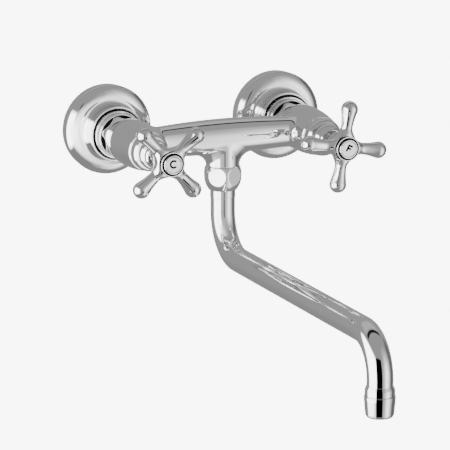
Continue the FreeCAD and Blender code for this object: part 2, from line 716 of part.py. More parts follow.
def union_tailpiece(name, side):
    """Flanged sleeve that is screwed into the back of the tap body."""
    body = new_body(f"{name}_union_tailpiece")
    turned(body, f"{name}_tail", [
        (S["tail_bore"], tail_back),
        (S["union_thread_radius"] - S["tail_edge"], tail_back),
        (S["union_thread_radius"] - S["tail_edge"], tail_flange_front),
        (S["tail_radius"], tail_flange_front),
        (S["tail_radius"], barrel_back),
        (S["inlet_thread_radius"], barrel_back),
        (S["inlet_thread_radius"], seat_back),
        (S["tail_bore"], seat_back),
    ])
    place_on_valve(body, side)


def barrel_radius_at(distance):
    """Radius of a barrel at a distance from its widest place."""
    curve = S["barrel_curve"]
    return S["barrel_radius"] - curve + root(curve * curve - distance * distance)


def bridge_body():
    """The casting: two barrels, the fish-belly bridge and the collar and spigot of the spout."""
    body = new_body("bridge_body")
    half = S["inlet_spacing"] / 2
    out = -S["bridge_out"]
    sections = []
    for number, (share, radius) in enumerate((
        (-1.0, S["bridge_end_radius"]),
        (-0.5, S["bridge_quarter_radius"]),
        (0.0, S["bridge_radius"]),
        (0.5, S["bridge_quarter_radius"]),
        (1.0, S["bridge_end_radius"]),
    )):
        section = new_sketch(body, f"bridge_section_{number}", "YZ_Plane", lift=half * share)
        draw_circle(section, radius, out, S["bridge_rise"] * (1 - share * share))
        sections.append(section)
    bridge = body.newObject("PartDesign::AdditiveLoft", "bridge")
    bridge.Profile = sections[0]
    bridge.Sections = sections[1:]

    flare_sections = []
    for number, (share, widening) in enumerate(COLLAR_SECTIONS):
        height = collar_low * share
        section = new_sketch(body, f"collar_section_{number}", "XY_Plane", lift=height)
        across = S["collar_radius"] - S["collar_slimming"] * (1 - share)
        draw_ellipse(section, S["collar_radius"] + S["collar_flare"] * widening, across, 0, out)
        flare_sections.append(section)
    foot = new_sketch(body, "collar_foot", "XY_Plane", lift=collar_low)
    draw_circle(foot, S["collar_radius"], 0, out)
    collar = body.newObject("PartDesign::AdditiveLoft", "collar")
    collar.Profile = flare_sections[0]
    collar.Sections = flare_sections[1:] + [foot]

    barrel = new_sketch(body, "barrel_profile", "XY_Plane", shift=half)
    draw_chain(barrel, barrel_points(), closed=True)
    barrel_turned = body.newObject("PartDesign::Revolution", "barrel")
    barrel_turned.Profile = barrel
    barrel_turned.ReferenceAxis = (barrel, ["V_Axis"])
    barrel_turned.Angle = 360
    mirror(body, "barrels", barrel_turned)

    spigot = new_sketch(body, "spigot_circle", "XY_Plane", lift=spigot_low)
    draw_circle(spigot, S["spigot_radius"], 0, out)
    extruded(body, "spigot", spigot, S["spigot_length"])

    bore = new_sketch(body, "valve_bore_profile", "XY_Plane", shift=half)
    draw_chain(bore, valve_bore_points(), closed=True)
    bored = body.newObject("PartDesign::Groove", "valve_bore")
    bored.Profile = bore
    bored.ReferenceAxis = (bore, ["V_Axis"])
    bored.Angle = 360
    mirror(body, "valve_bores", bored)

    waterway = new_sketch(body, "waterway_circle", "YZ_Plane", lift=-half)
    draw_circle(waterway, S["port_radius"], out, as_size(0))
    extruded(body, "waterway", waterway, S["inlet_spacing"], "PartDesign::Pocket")
    socket = new_sketch(body, "spout_socket_circle", "XY_Plane", lift=spigot_low)
    draw_circle(socket, S["spout_socket_radius"], 0, out)
    extruded(body, "spout_socket", socket, -spigot_low, "PartDesign::Pocket")
    place(body, as_size(0), as_size(0), S["eccentric_offset"], UPRIGHT)


def mirror(body, name, feature):
    """Repeat a feature on the other side of the tap."""
    mirrored = body.newObject("PartDesign::Mirrored", name)
    mirrored.Originals = [feature]
    mirrored.MirrorPlane = (origin_feature(body, "YZ_Plane"), [""])
    body.Tip = mirrored


def barrel_points():
    """Solid profile of a barrel in plan: radius and -distance from the wall."""
    bead_front = barrel_back + S["barrel_bead"]
    groove_front = bead_front + S["barrel_groove"]
    bead = S["barrel_bead_radius"]
    swell_back = groove_front + S["barrel_shoulder"]
    swell_front = barrel_front - S["barrel_shoulder"]
    widest = barrel_back + S["barrel_widest"]
    back_radius = barrel_radius_at(widest - swell_back)
    front_radius = barrel_radius_at(swell_front - widest)
    edge = S["barrel_shoulder"]
    return [
        (0, -barrel_back),
        (bead, -barrel_back),
        (bead, -bead_front),
        (bead - S["barrel_groove"], -bead_front),
        (bead - S["barrel_groove"], -groove_front),
        (back_radius - edge, -groove_front),
        (back_radius, -swell_back, edge, -1),
        (front_radius, -swell_front, S["barrel_curve"], -1),
        (front_radius - edge, -barrel_front, edge, -1),
        (0, -barrel_front),
    ]


def valve_bore_points():
    """Profile of what is bored out of a barrel: inlet thread, seat, chamber, headwork thread."""
    gap = S["thread_gap"]
    return [
        (0, -barrel_back),
        (S["inlet_thread_radius"] + gap, -barrel_back),
        (S["inlet_thread_radius"] + gap, -seat_back),
        (S["seat_radius"], -seat_back),
        (S["seat_radius"], -seat_face),
        (S["chamber_radius"], -seat_face),
        (S["chamber_radius"], -thread_back),
        (S["headwork_thread_radius"] + gap, -thread_back),
        (S["headwork_thread_radius"] + gap, -barrel_front),
        (0, -barrel_front),
    ]


def headwork(name, side):
    """Brass headwork: screwed into the barrel, it guides the plunger and holds the spindle."""
    body = new_body(f"{name}_headwork")
    corner = S["headwork_flats"] / cosine(30) / 2
    hole = S["spindle_radius"] + S["running_gap"]
    turned(body, f"{name}_headwork_turned", [
        (hole, guide_back),
        (S["headwork_skirt_radius"], guide_back),
        (S["headwork_skirt_radius"], thread_back),
        (S["headwork_thread_radius"], thread_back),
        (S["headwork_thread_radius"], hexagon_back),
        (corner, hexagon_back),
        (corner, hexagon_front),
        (S["headwork_nose_radius"], hexagon_front),
        (S["headwork_nose_radius"], nose_front),
        (hole, nose_front),
    ])
    cut_flats(body, f"{name}_headwork_flats", S["headwork_flats"], hexagon_back,
              S["headwork_hexagon"], corner + OVERCUT)
    guide = new_sketch(body, f"{name}_guide_hexagon", "XY_Plane", lift=guide_back)
    draw_hexagon(guide, S["plunger_flats"] + S["running_gap"] * 2)
    extruded(body, f"{name}_guide", guide, guide_front - guide_back, "PartDesign::Pocket")
    place_on_valve(body, side)


def headwork_gasket(name, side):
    """Fibre gasket between the barrel and the hexagon."""
    inside = S["headwork_thread_radius"] + S["thread_gap"]
    body = plain_ring(f"{name}_headwork_gasket", inside, S["gasket_radius"],
                      barrel_front, hexagon_back)
    place_on_valve(body, side)


def plunger(name, side):
    """Sliding plunger: its hexagon stem can't turn, so the spindle's thread moves it."""
    body = new_body(f"{name}_plunger")
    bore = S["spindle_screw_radius"] + S["running_gap"]
    disc(body, f"{name}_plunger_head", S["plunger_head_radius"], plunger_back,
         S["plunger_head"])
    stem = new_sketch(body, f"{name}_stem_hexagon", "XY_Plane", lift=stem_back)
    draw_hexagon(stem, S["plunger_flats"])
    extruded(body, f"{name}_stem", stem, S["plunger_stem"])
    cut = "PartDesign::Pocket"
    disc(body, f"{name}_stem_bore", bore, stem_web, stem_front - stem_web, kind=cut)
    disc(body, f"{name}_washer_thread", S["washer_screw_radius"] + S["thread_gap"],
         plunger_back, S["washer_screw_length"] + S["play"], kind=cut)
    place_on_valve(body, side)


def seat_washer(name, side):
    """Rubber washer that closes the seat."""
    body = plain_ring(f"{name}_seat_washer", S["washer_screw_radius"] + S["thread_gap"],
                      S["seat_washer_radius"], seat_face + S["seat_contact"], plunger_back)
    place_on_valve(body, side)


def washer_screw(name, side):
    """Slotted screw that holds the seat washer on the plunger."""
    body = new_body(f"{name}_washer_screw")
    head_front = seat_face + S["seat_contact"]
    head_back = head_front - S["washer_screw_head"]
    turned(body, f"{name}_washer_screw_turned", [
        (0, head_back),
        (S["washer_screw_head_radius"], head_back),
        (S["washer_screw_head_radius"], head_front),
        (S["washer_screw_radius"], head_front),
        (S["washer_screw_radius"], plunger_back + S["washer_screw_length"]),
        (0, plunger_back + S["washer_screw_length"]),
    ])
    place_on_valve(body, side)


def groove_backs():
    """Where the two O-ring grooves of a spindle begin."""
    first = shoulder_front + S["o_ring_first"]
    return first, first + S["o_ring_pitch"]


def spindle(name, side, turn):
    """Spindle: drive thread, shoulder, sealed neck with grooves, and the end for the handle."""
    body = new_body(f"{name}_spindle")
    screw, neck, spline = S["spindle_screw_radius"], S["spindle_radius"], S["spindle_spline_radius"]
    tapped = S["screw_radius"] + S["thread_gap"]
    tapped_back = screw_seat - S["screw_length"] - S["play"]
    points = [
        (0, spindle_back),
        (screw, spindle_back),
        (screw, shoulder_back),
        (S["spindle_shoulder_radius"], shoulder_back),
        (S["spindle_shoulder_radius"], shoulder_front),
        (neck, shoulder_front),
    ]
    for back in groove_backs():
        front = back + S["o_ring_width"]
        floor = S["o_ring_groove"]
        points += [(neck, back), (floor, back), (floor, front), (neck, front)]
    points += [
        (neck, clip_back),
        (S["clip_groove"], clip_back),
        (S["clip_groove"], clip_front),
        (neck, clip_front),
        (neck, hub_back),
        (spline, hub_back),
        (spline, spline_front),
        (tapped, spline_front),
        (tapped, tapped_back),
        (0, tapped_back),
    ]
    turned(body, f"{name}_spindle_turned", points)
    place_on_valve(body, side, turn.value)


def spindle_seals(name, side):
    """The two O-rings of a spindle."""
    body = new_body(f"{name}_spindle_seals")
    margin = S["play"] * 2
    for number, back in enumerate(groove_backs()):
        turned(body, f"{name}_spindle_seal_{number}", ring_points(
            S["o_ring_groove"] + S["running_gap"] / 2,
            S["spindle_radius"] + S["running_gap"] / 2,
            back + margin,
            back + S["o_ring_width"] - margin,
        ))
    place_on_valve(body, side)


def spindle_clip(name, side):
    """Retaining clip in front of the headwork: a ring with a gap."""
    body = plain_ring(f"{name}_spindle_clip", S["clip_groove"] + S["thread_gap"],
                      S["clip_radius"], clip_back + S["play"] / 2, clip_front - S["play"] / 2)
    gap = new_sketch(body, f"{name}_clip_gap", "XY_Plane", lift=clip_back)
    half = S["clip_groove"] / 2
    reach = S["clip_radius"] + OVERCUT
    draw_chain(gap, [(-half, as_size(0)), (half, as_size(0)), (half, reach), (-half, reach)],
               closed=True)
    extruded(body, f"{name}_clip_opening", gap, S["clip_thickness"], "PartDesign::Pocket")
    place_on_valve(body, side)


def bonnet_shroud(name, side):
    """Stepped chrome shroud that hides the headwork, screwed onto its nose."""
    body = new_body(f"{name}_bonnet_shroud")
    outer, wall = S["shroud_radius"], S["shroud_wall"]
    band_front = barrel_front + S["shroud_band"]
    groove_front = band_front + S["shroud_groove"]
    ring_front = groove_front + S["shroud_ring"]
    neck_front = ring_front + S["shroud_groove"]
    recess_back = shroud_front - S["shroud_recess"]
    web_back = recess_back - S["shroud_web"]
    band_drop = outer - S["shroud_groove_radius"]
    ring_drop = S["shroud_ring_radius"] - S["shroud_neck_radius"]
    cap_drop = S["shroud_cap_radius"] - S["shroud_front_radius"]
    turned(body, f"{name}_shroud_turned", [
        (outer - wall, barrel_front),
        (outer, barrel_front),
        (outer, band_front - band_drop),
        (S["shroud_groove_radius"], band_front, band_drop, 1),
        (S["shroud_groove_radius"], groove_front),
        (S["shroud_ring_radius"], groove_front),
        (S["shroud_ring_radius"], ring_front - ring_drop),
        (S["shroud_neck_radius"], ring_front, ring_drop, 1),
        (S["shroud_neck_radius"], neck_front),
        (S["shroud_cap_radius"], neck_front),
        (S["shroud_front_radius"], shroud_front, swell(cap_drop, shroud_front - neck_front), 1),
        (S["shroud_recess_radius"], shroud_front),
        (S["shroud_recess_radius"], recess_back),
        (S["headwork_nose_radius"] + S["thread_gap"], recess_back),
        (S["headwork_nose_radius"] + S["thread_gap"], web_back),
        (S["shroud_neck_radius"] - wall, web_back),
        (S["shroud_neck_radius"] - wall, hexagon_front + S["shroud_room"]),
        (outer - wall, hexagon_front + S["shroud_room"]),
    ])
    place_on_valve(body, side)


def cross_handle(name, side, turn):
    """Cross handle: a hub with four arms that swell into rounded ends."""
    body = new_body(f"{name}_cross_handle")
    hub, back, edge = S["hub_radius"], S["hub_back_radius"], S["hub_round"]
    rim_back = hub_front - S["hub_rim"]
    turned(body, f"{name}_hub", [
        (0, hub_back),
        (back - edge, hub_back),
        (back, hub_back + edge, edge, 1),
        (hub, hub_back + S["arm_plane"]),
        (hub, rim_back - edge),
        (hub - edge, rim_back, edge, 1),
        (hub - edge - S["hub_rim_step"], rim_back),
        (hub - edge - S["hub_rim_step"], hub_front),
        (0, hub_front),
    ])
    arm = new_sketch(body, f"{name}_arm_profile", "XY_Plane", lift=hub_back + S["arm_plane"])
    draw_chain(arm, arm_points(), closed=True)
    arm_turned = body.newObject("PartDesign::Revolution", f"{name}_arm")
    arm_turned.Profile = arm
    arm_turned.ReferenceAxis = (arm, ["H_Axis"])
    arm_turned.Angle = 360
    arms = body.newObject("PartDesign::PolarPattern", f"{name}_arms")
    arms.Originals = [arm_turned]
    arms.Axis = (arm, ["N_Axis"])
    arms.Angle = 360
    arms.Occurrences = 4
    body.Tip = arms
    DOC.recompute()
    blend = body.newObject("PartDesign::Fillet", f"{name}_arm_blend")
    blend.Base = (arms, arm_root_edges(arms.Shape, S["hub_radius"].value))
    blend.setExpression("Radius", S["arm_fillet"].formula)
    spline = S["spindle_spline_radius"] + S["thread_gap"]
    recess = S["cap_spigot_radius"] + S["thread_gap"]
    ring = S["cap_radius"] + S["cap_gap"]
    turned(body, f"{name}_hub_bore", [
        (0, hub_back),
        (spline, hub_back),
        (spline, spline_front + S["play"]),
        (S["screw_radius"] + S["thread_gap"], spline_front + S["play"]),
        (S["screw_radius"] + S["thread_gap"], screw_seat),
        (recess, screw_seat),
        (recess, cap_recess),
        (ring, cap_recess),
        (ring, hub_front),
        (0, hub_front),
    ], kind="PartDesign::Groove")
    place_on_valve(body, side, turn.value)


def arm_points():
    """Half outline of an arm along its own axis: neck, hollow curve and rounded end."""
    neck, knob = S["arm_radius"], S["knob_radius"]
    start, tip = S["arm_neck"], S["arm_reach"]
    centre = tip - knob
    run = centre - start
    hollow = (run * run + neck * neck - knob * knob) / ((knob - neck) * 2)
    share = hollow / (hollow + knob)
    touch_x = start + run * share
    touch_y = (neck + hollow) * (as_size(1) - share)
    return [
        (S["hub_back_radius"] / 2, 0),
        (tip, 0),
        (centre, knob, knob, 1),
        (touch_x, touch_y, knob, 1),
        (start, neck, hollow, -1),
        (S["hub_back_radius"] / 2, neck),
    ]


def arm_root_edges(shape, hub_radius):
    """Names of the edges where the arms leave the hub."""
    names = []
    for number, edge in enumerate(shape.Edges, start=1):
        ends = [math.hypot(vertex.X, vertex.Y) for vertex in edge.Vertexes]
        box = edge.BoundBox
        upright = box.ZLength > 1.0 and box.ZLength < hub_radius
        if upright and all(abs(distance - hub_radius) < 1.0 for distance in ends):
            names.append(f"Edge{number}")
    return names


def handle_screw(name, side):
    """Screw that holds the handle on the spindle."""
    body = new_body(f"{name}_handle_screw")
    turned(body, f"{name}_handle_screw_turned", [
        (0, screw_seat - S["screw_length"]),
        (S["screw_radius"], screw_seat - S["screw_length"]),
        (S["screw_radius"], screw_seat),
        (S["screw_head_radius"], screw_seat),
        (S["screw_head_radius"], screw_seat + S["screw_head"]),
        (0, screw_seat + S["screw_head"]),
    ])
    place_on_valve(body, side)


def letter_outline(name, sketch):
    """Outline of the enamelled letter: an open ring for hot, a stem with two bars for cold."""
    stroke, middle = S["letter_stroke"], S["letter_lift"]
    half = S["letter_height"] / 2
    if name == "hot":
        inner, opening = half - stroke, S["letter_opening"]
        across, along = cosine(opening), sine(opening)
        draw_chain(sketch, [
            (across * half, middle - along * half, half, 1),
            (across * inner, middle - along * inner),
            (-inner, middle, inner, -1),
            (across * inner, middle + along * inner, inner, -1),
            (across * half, middle + along * half),
            (-half, middle, half, 1),
        ], closed=True)
        return
    left = -(S["letter_width"] / 2)
    top = middle + half
    bar_top = middle + stroke / 2
    draw_chain(sketch, [
        (left, middle - half),
        (left + stroke, middle - half),
        (left + stroke, bar_top - stroke),
        (-left - stroke / 2, bar_top - stroke),
        (-left - stroke / 2, bar_top),
        (left + stroke, bar_top),
        (left + stroke, top - stroke),
        (-left, top - stroke),
        (-left, top),
        (left, top),
    ], closed=True)


def index_letter(name, side, turn):
    """Black enamel letter let into the cap: C for the hot side, F for the cold side."""
    body = new_body(f"{name}_index_letter")
    sketch = new_sketch(body, f"{name}_letter_outline", "XY_Plane",
                        lift=cap_front - S["letter_depth"])
    letter_outline(name, sketch)
    extruded(body, f"{name}_letter", sketch, S["letter_depth"])
    place_on_valve(body, side, turn.value)


def index_cap(name, side, turn):
    """Cap in the middle of the handle: a bevelled disc on a hollow spigot."""
    body = new_body(f"{name}_index_cap")
    spigot = S["cap_spigot_radius"]
    inside = spigot - S["cap_spigot_wall"]
    turned(body, f"{name}_cap", [
        (0, cap_back),
        (inside, cap_back),
        (inside, cap_back - S["cap_spigot"]),
        (spigot, cap_back - S["cap_spigot"]),
        (spigot, cap_back),
        (S["cap_radius"], cap_back),
        (S["cap_radius"], cap_front - S["cap_bevel"] / 2),
        (S["cap_radius"] - S["cap_bevel"], cap_front),
        (0, cap_front),
    ])
    sketch = new_sketch(body, f"{name}_engraving_outline", "XY_Plane",
                        lift=cap_front - S["letter_depth"])
    letter_outline(name, sketch)
    extruded(body, f"{name}_engraving", sketch, S["letter_depth"], "PartDesign::Pocket")
    place_on_valve(body, side, turn.value)


def spout_nut():
    """Domed hexagon nut that hangs the spout on the spigot."""
    body = new_body("spout_nut")
    outside = (S["spout_nut_end_radius"], S["spout_nut_radius"],
               S["spout_nut_small_radius"], S["spout_nut_widest"])
    profile = domed_nut_points(
        outside,
        bore=S["spigot_radius"] + S["thread_gap"],
        hole=S["band_radius"] + S["running_gap"],
        shoulder=collar_low - spout_nut_shoulder,
        length=S["spout_nut_length"],
    )
    points = []
    for point in profile:
        bend = (point[2], -point[3]) if len(point) == 4 else ()
        points.append((point[0], collar_low - point[1]) + bend)
    turned(body, "spout_nut_dome", points)
    cut_flats(body, "spout_nut_hexagon", S["spout_nut_flats"], spout_nut_low,
              S["spout_nut_length"], S["spout_nut_radius"] + OVERCUT,
              turn=S["spout_nut_turn"] - 90)
    place_on_spout(body)


def slip_washers():
    """Nylon washers above and below the swivel's flange."""
    inside = S["spout_socket_radius"] + S["running_gap"] * 2
    upper = plain_ring("spout_upper_washer", inside, S["swivel_flange_radius"],
                       spigot_low - S["slip_washer"], spigot_low)
    lower = plain_ring("spout_lower_washer", S["band_radius"] + S["running_gap"],
                       S["swivel_flange_radius"], spout_nut_shoulder, lower_washer_top)
    place_on_spout(upper)
    place_on_spout(lower)


def seal_backs():
    """Lower edges of the two O-ring grooves on the swivel."""
    first = spigot_low + S["swivel_groove"]
    return first, first + S["swivel_groove_pitch"]


def spout_swivel():
    """Turned end of the spout: sealed in its socket, hung by its flange, brazed to the tube."""
    body = new_body("spout_swivel")
    shank = S["spout_socket_radius"] - S["running_gap"]
    floor = shank - (S["spindle_radius"] - S["o_ring_groove"])
    plug = tube_bore - S["thread_gap"]
    points = [
        (S["swivel_bore"], tube_top - S["tube_socket"]),
        (plug, tube_top - S["tube_socket"]),
        (plug, tube_top),
        (S["band_radius"], tube_top),
        (S["band_radius"], flange_low),
        (S["swivel_flange_radius"], flange_low),
        (S["swivel_flange_radius"], flange_top),
        (shank, flange_top),
    ]
    for low in seal_backs():
        high = low + S["o_ring_width"]
        points += [(shank, low), (floor, low), (floor, high), (shank, high)]
    points += [(shank, swivel_top), (S["swivel_bore"], swivel_top)]
    turned(body, "swivel_turned", points)
    place_on_spout(body)


def spout_seals():
    """The two O-rings of the swivel."""
    body = new_body("spout_seals")
    shank = S["spout_socket_radius"] - S["running_gap"]
    floor = shank - (S["spindle_radius"] - S["o_ring_groove"])
    margin = S["play"] * 2
    for number, low in enumerate(seal_backs()):
        turned(body, f"spout_seal_{number}", ring_points(
            floor + S["running_gap"] / 2,
            shank + S["running_gap"] / 2,
            low + margin,
            low + S["o_ring_width"] - margin,
        ))
    place_on_spout(body)


def spout_tube():
    """Bent tube: down, out along the arm and down again, on one path of lines and arcs."""
    body = new_body("spout_tube")
    reach = S["spout_reach"]
    along_out, along_up = reach / arm_length, S["arm_rise"] / arm_length
    path = new_sketch(body, "tube_path", "YZ_Plane")
    draw_chain(path, [
        (0, tube_top),
        (0, arm_start + first_run),
        (-(along_out * first_run), arm_start + along_up * first_run, S["first_bend"], -1),
        (-(reach - along_out * second_run), arm_end - along_up * second_run),
        (-reach, arm_end - second_run, S["second_bend"], 1),
        (-reach, joint_line),
    ], closed=False)
    for name, radius, kind in (
        ("tube", S["tube_radius"], "PartDesign::AdditivePipe"),
        ("tube_hollow", tube_bore, "PartDesign::SubtractivePipe"),
    ):
        section = new_sketch(body, f"{name}_section", "XY_Plane", lift=tube_top)
        draw_circle(section, radius)
        sweep = body.newObject(kind, name)
        sweep.Profile = section
        sweep.Spine = path
    place_on_spout(body)


def outlet_bush():
    """Bush brazed over the end of the tube, with the aerator's thread below."""
    body = new_body("outlet_bush")
    over = S["tube_radius"] + S["thread_gap"]
    top = joint_line + S["bush_length"]
    thin = over + S["bush_edge"]
    flare = swell(S["bush_radius"] - thin, S["bush_flare"])
    lower_edge = S["bush_radius"] - S["bush_edge"]
    turned(body, "outlet_bush_turned", [
        (over, joint_line),
        (over, top),
        (thin, top),
        (S["bush_radius"], top - S["bush_flare"], flare, 1),
        (S["bush_radius"], joint_line + S["bush_edge"]),
        (lower_edge, joint_line, S["bush_edge"], -1),
        (S["nose_radius"], joint_line),
        (S["nose_radius"], nose_low),
        (tube_bore, nose_low),
        (tube_bore, joint_line),
    ])
    place_on_spout(body, S["spout_reach"])


def aerator_housing():
    """Screwed housing at the outlet."""
    body = new_body("aerator_housing")
    thread = S["nose_radius"] + S["thread_gap"]
    foot, edge = S["aerator_foot_radius"], S["aerator_round"]
    taper_top = housing_top - S["aerator_straight"]
    taper = swell(S["aerator_radius"] - foot, taper_top - (housing_low + edge))
    inset = edge / 2
    turned(body, "aerator_housing_turned", [
        (thread, housing_top),
        (S["aerator_radius"], housing_top),
        (S["aerator_radius"], taper_top),
        (foot, housing_low + edge, taper, -1),
        (foot - inset, housing_low, swell(inset, edge), -1),
        (S["aerator_mouth"], housing_low),
        (S["aerator_mouth"], lip_top),
        (thread, lip_top),
    ])
    place_on_spout(body, S["spout_reach"])


def aerator_washer():
    """Rubber washer between the outlet's nose and the insert."""
    body = plain_ring("aerator_washer", tube_bore - S["insert_wall"], S["nose_radius"],
                      insert_top, nose_low)
    place_on_spout(body, S["spout_reach"])


def aerator_insert():
    """Plastic cup with a ring of jet holes in its floor."""
    body = new_body("aerator_insert")
    rim_low = insert_top - S["insert_rim"]
    floor = rim_low - S["insert_wall"]
    inside = S["insert_radius"] - S["insert_wall"]
    mouth = S["aerator_mouth"] - S["insert_wall"]
    turned(body, "insert_cup", [
        (0, floor),
        (inside, floor),
        (inside, lip_top + S["play"]),
        (S["insert_radius"], lip_top + S["play"]),
        (S["insert_radius"], rim_low),
        (S["nose_radius"], rim_low),
        (S["nose_radius"], insert_top),
        (mouth, insert_top),
        (mouth, rim_low),
        (0, rim_low),
    ])
    hole = new_sketch(body, "jet_circle", "XY_Plane", lift=floor)
    draw_circle(hole, S["insert_holes"], S["insert_hole_circle"], as_size(0))
    jet = extruded(body, "jet", hole, S["insert_wall"], "PartDesign::Pocket")
    jets = body.newObject("PartDesign::PolarPattern", "jets")
    jets.Originals = [jet]
    jets.Axis = (origin_feature(body, "Z_Axis"), [""])
    jets.Angle = 360
    jets.Occurrences = JET_HOLES
    body.Tip = jets
    place_on_spout(body, S["spout_reach"])


def aerator_screens():
    """Woven screens clamped inside the insert: three thin discs in one rim."""
    body = new_body("aerator_screens")
    outside = S["insert_radius"] - S["insert_wall"] - S["thread_gap"]
    rim = outside - S["insert_wall"]
    low = lip_top + S["play"]
    thin, pitch = S["screen_thickness"], S["screen_spacing"]
    high = low + pitch * 2 + thin
    points = [(0, low), (outside, low), (outside, high), (0, high)]
    for number in (1, 0):
        upper = low + pitch * (number + 1)
        lower = low + pitch * number + thin
        points += [(0, upper), (rim, upper), (rim, lower), (0, lower)]
    turned(body, "screens_turned", points)
    place_on_spout(body, S["spout_reach"])


def build_all():
    """Make every piece of the tap."""
    bridge_body()
    for name, side, turn, letter_turn in SIDES:
        eccentric_union(name, side)
        wall_flange(name, side)
        union_washer(name, side)
        union_nut(name, side)
        union_tailpiece(name, side)
        headwork_gasket(name, side)
        headwork(name, side)
        plunger(name, side)
        seat_washer(name, side)
        washer_screw(name, side)
        spindle(name, side, turn)
        spindle_seals(name, side)
        spindle_clip(name, side)
        bonnet_shroud(name, side)
        cross_handle(name, side, turn)
        handle_screw(name, side)
        index_cap(name, side, letter_turn)
        index_letter(name, side, letter_turn)
    spout_nut()
    slip_washers()
    spout_swivel()
    spout_seals()
    spout_tube()
    outlet_bush()
    aerator_washer()
    aerator_housing()
    aerator_insert()
    aerator_screens()


def check_document():
    """Stop where a feature failed or a node has no valid solid."""
    for item in DOC.Objects:
        if "Invalid" in item.State or "Error" in item.State:
            raise RuntimeError(f"{item.Label} failed: {item.State}")
    for body in NODES:
        shape = body.Shape
        if shape.isNull() or not shape.isValid() or not shape.Solids:
            raise RuntimeError(f"{body.Label} has no valid solid")


def write_nodes():
    """Write one file for each node and say what it holds."""
    os.makedirs("parts", exist_ok=True)
    for body in NODES:
        body.Shape.exportStep(f"parts/{body.Label}.step")
        print(f"{body.Label}: {len(body.Shape.Solids)} solid(s), {body.Shape.Volume:.1f} mm3")


build_all()
DOC.recompute()
check_document()
write_nodes()
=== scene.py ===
"""Wall-mounted bridge kitchen mixer: the polished pieces, their finishes and a plain studio."""

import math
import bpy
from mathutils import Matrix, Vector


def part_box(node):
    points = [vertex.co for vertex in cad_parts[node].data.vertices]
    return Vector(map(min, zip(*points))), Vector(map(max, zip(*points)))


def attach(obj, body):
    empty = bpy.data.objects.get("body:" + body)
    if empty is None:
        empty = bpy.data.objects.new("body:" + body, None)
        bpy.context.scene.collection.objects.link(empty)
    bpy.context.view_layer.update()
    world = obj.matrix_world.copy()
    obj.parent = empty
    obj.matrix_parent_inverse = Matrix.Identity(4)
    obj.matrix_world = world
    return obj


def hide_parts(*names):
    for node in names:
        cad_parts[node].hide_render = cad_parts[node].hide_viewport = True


bl_info = {
    "name": "Bridge Kitchen Mixer",
    "version": (1, 0, 0),
    "blender": (4, 5, 0),
    "location": "View3D > Sidebar > Mixer",
    "description": "Makes the polished pieces of a wall-mounted bridge mixer round its frame",
    "category": "Object",
}

import bpy
import mathutils
import numpy as np

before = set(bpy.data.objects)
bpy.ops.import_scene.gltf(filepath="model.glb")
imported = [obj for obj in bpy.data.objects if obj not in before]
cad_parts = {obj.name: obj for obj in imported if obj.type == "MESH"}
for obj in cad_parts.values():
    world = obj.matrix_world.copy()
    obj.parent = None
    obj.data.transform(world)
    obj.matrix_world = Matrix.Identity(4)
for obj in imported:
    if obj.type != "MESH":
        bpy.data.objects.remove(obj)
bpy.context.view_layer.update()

MM = 0.001
SIDES = (("hot", -1), ("cold", 1))
# Around a turned piece, and over the rounding of one corner.
AROUND = 192
ROUNDING_STEPS = 6


def middle_of(node, axis):
    """Middle of a frame node along one axis, in metres."""
    low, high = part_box(node)
    return (low[axis] + high[axis]) / 2


def width_of(node, axis):
    """Width of a frame node along one axis, in metres."""
    low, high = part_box(node)
    return high[axis] - low[axis]


# ---------------------------------------------------------------------------------------------
# Profiles and grids, in millimetres
# ---------------------------------------------------------------------------------------------


def arc(centre, radius, start, end, count=12):
    """Corners without rounding on a circle: centre + radius (cos, sin), start to end degrees."""
    angle = np.radians(np.linspace(start, end, count))
    x = centre[0] + radius * np.cos(angle)
    y = centre[1] + radius * np.sin(angle)
    return np.column_stack((x, y, np.zeros(count)))


def rounded(corners, closed=True):
    """Outline through corners (x, y, rounding), every rounding a circular arc.

    At a corner the direction turns by an angle; the arc starts and ends rounding times the
    tangent of half that angle away from the corner, and its points are the start point turned
    about the arc's centre in equal steps.
    """
    table = np.vstack([np.atleast_2d(np.asarray(part, float)) for part in corners])
    place, radius = table[:, :2], table[:, 2:3]
    before, after = np.roll(place, 1, 0), np.roll(place, -1, 0)
    if not closed:
        before[0], after[-1] = place[0] * 2 - after[0], place[-1] * 2 - before[-1]
    into = place - before
    into = into / np.maximum(np.linalg.norm(into, axis=1, keepdims=True), 1e-9)
    out = after - place
    out = out / np.maximum(np.linalg.norm(out, axis=1, keepdims=True), 1e-9)
    cross = into[:, :1] * out[:, 1:] - into[:, 1:] * out[:, :1]
    turn = np.arctan2(cross, np.sum(into * out, axis=1, keepdims=True))
    first = place - into * radius * np.tan(np.abs(turn) / 2)
    side = np.sign(turn) * np.column_stack((-into[:, 1], into[:, 0]))
    centre = first + side * radius
    share = np.linspace(0, 1, ROUNDING_STEPS)[None, :, None]
    angle = turn[:, None, :] * share
    arm = (first - centre)[:, None, :]
    x = arm[..., :1] * np.cos(angle) - arm[..., 1:] * np.sin(angle)
    y = arm[..., :1] * np.sin(angle) + arm[..., 1:] * np.cos(angle)
    points = (centre[:, None, :] + np.concatenate((x, y), -1)).reshape(-1, 2)
    step = np.linalg.norm(points - np.roll(points, 1, 0), axis=1)
    keep = step > 1e-4
    if not closed:
        keep[0] = True
    return points[keep]


def grid_faces(rows, columns, ring):
    """Quads of a grid whose columns meet round the piece, and whose rows meet too if ring."""
    index = np.arange(rows * columns).reshape(rows, columns)
    lower = index if ring else index[:-1]
    upper = np.roll(index, -1, 0) if ring else index[1:]
    return np.stack(
        (lower, np.roll(lower, -1, 1), np.roll(upper, -1, 1), upper), -1
    ).reshape(-1, 4)


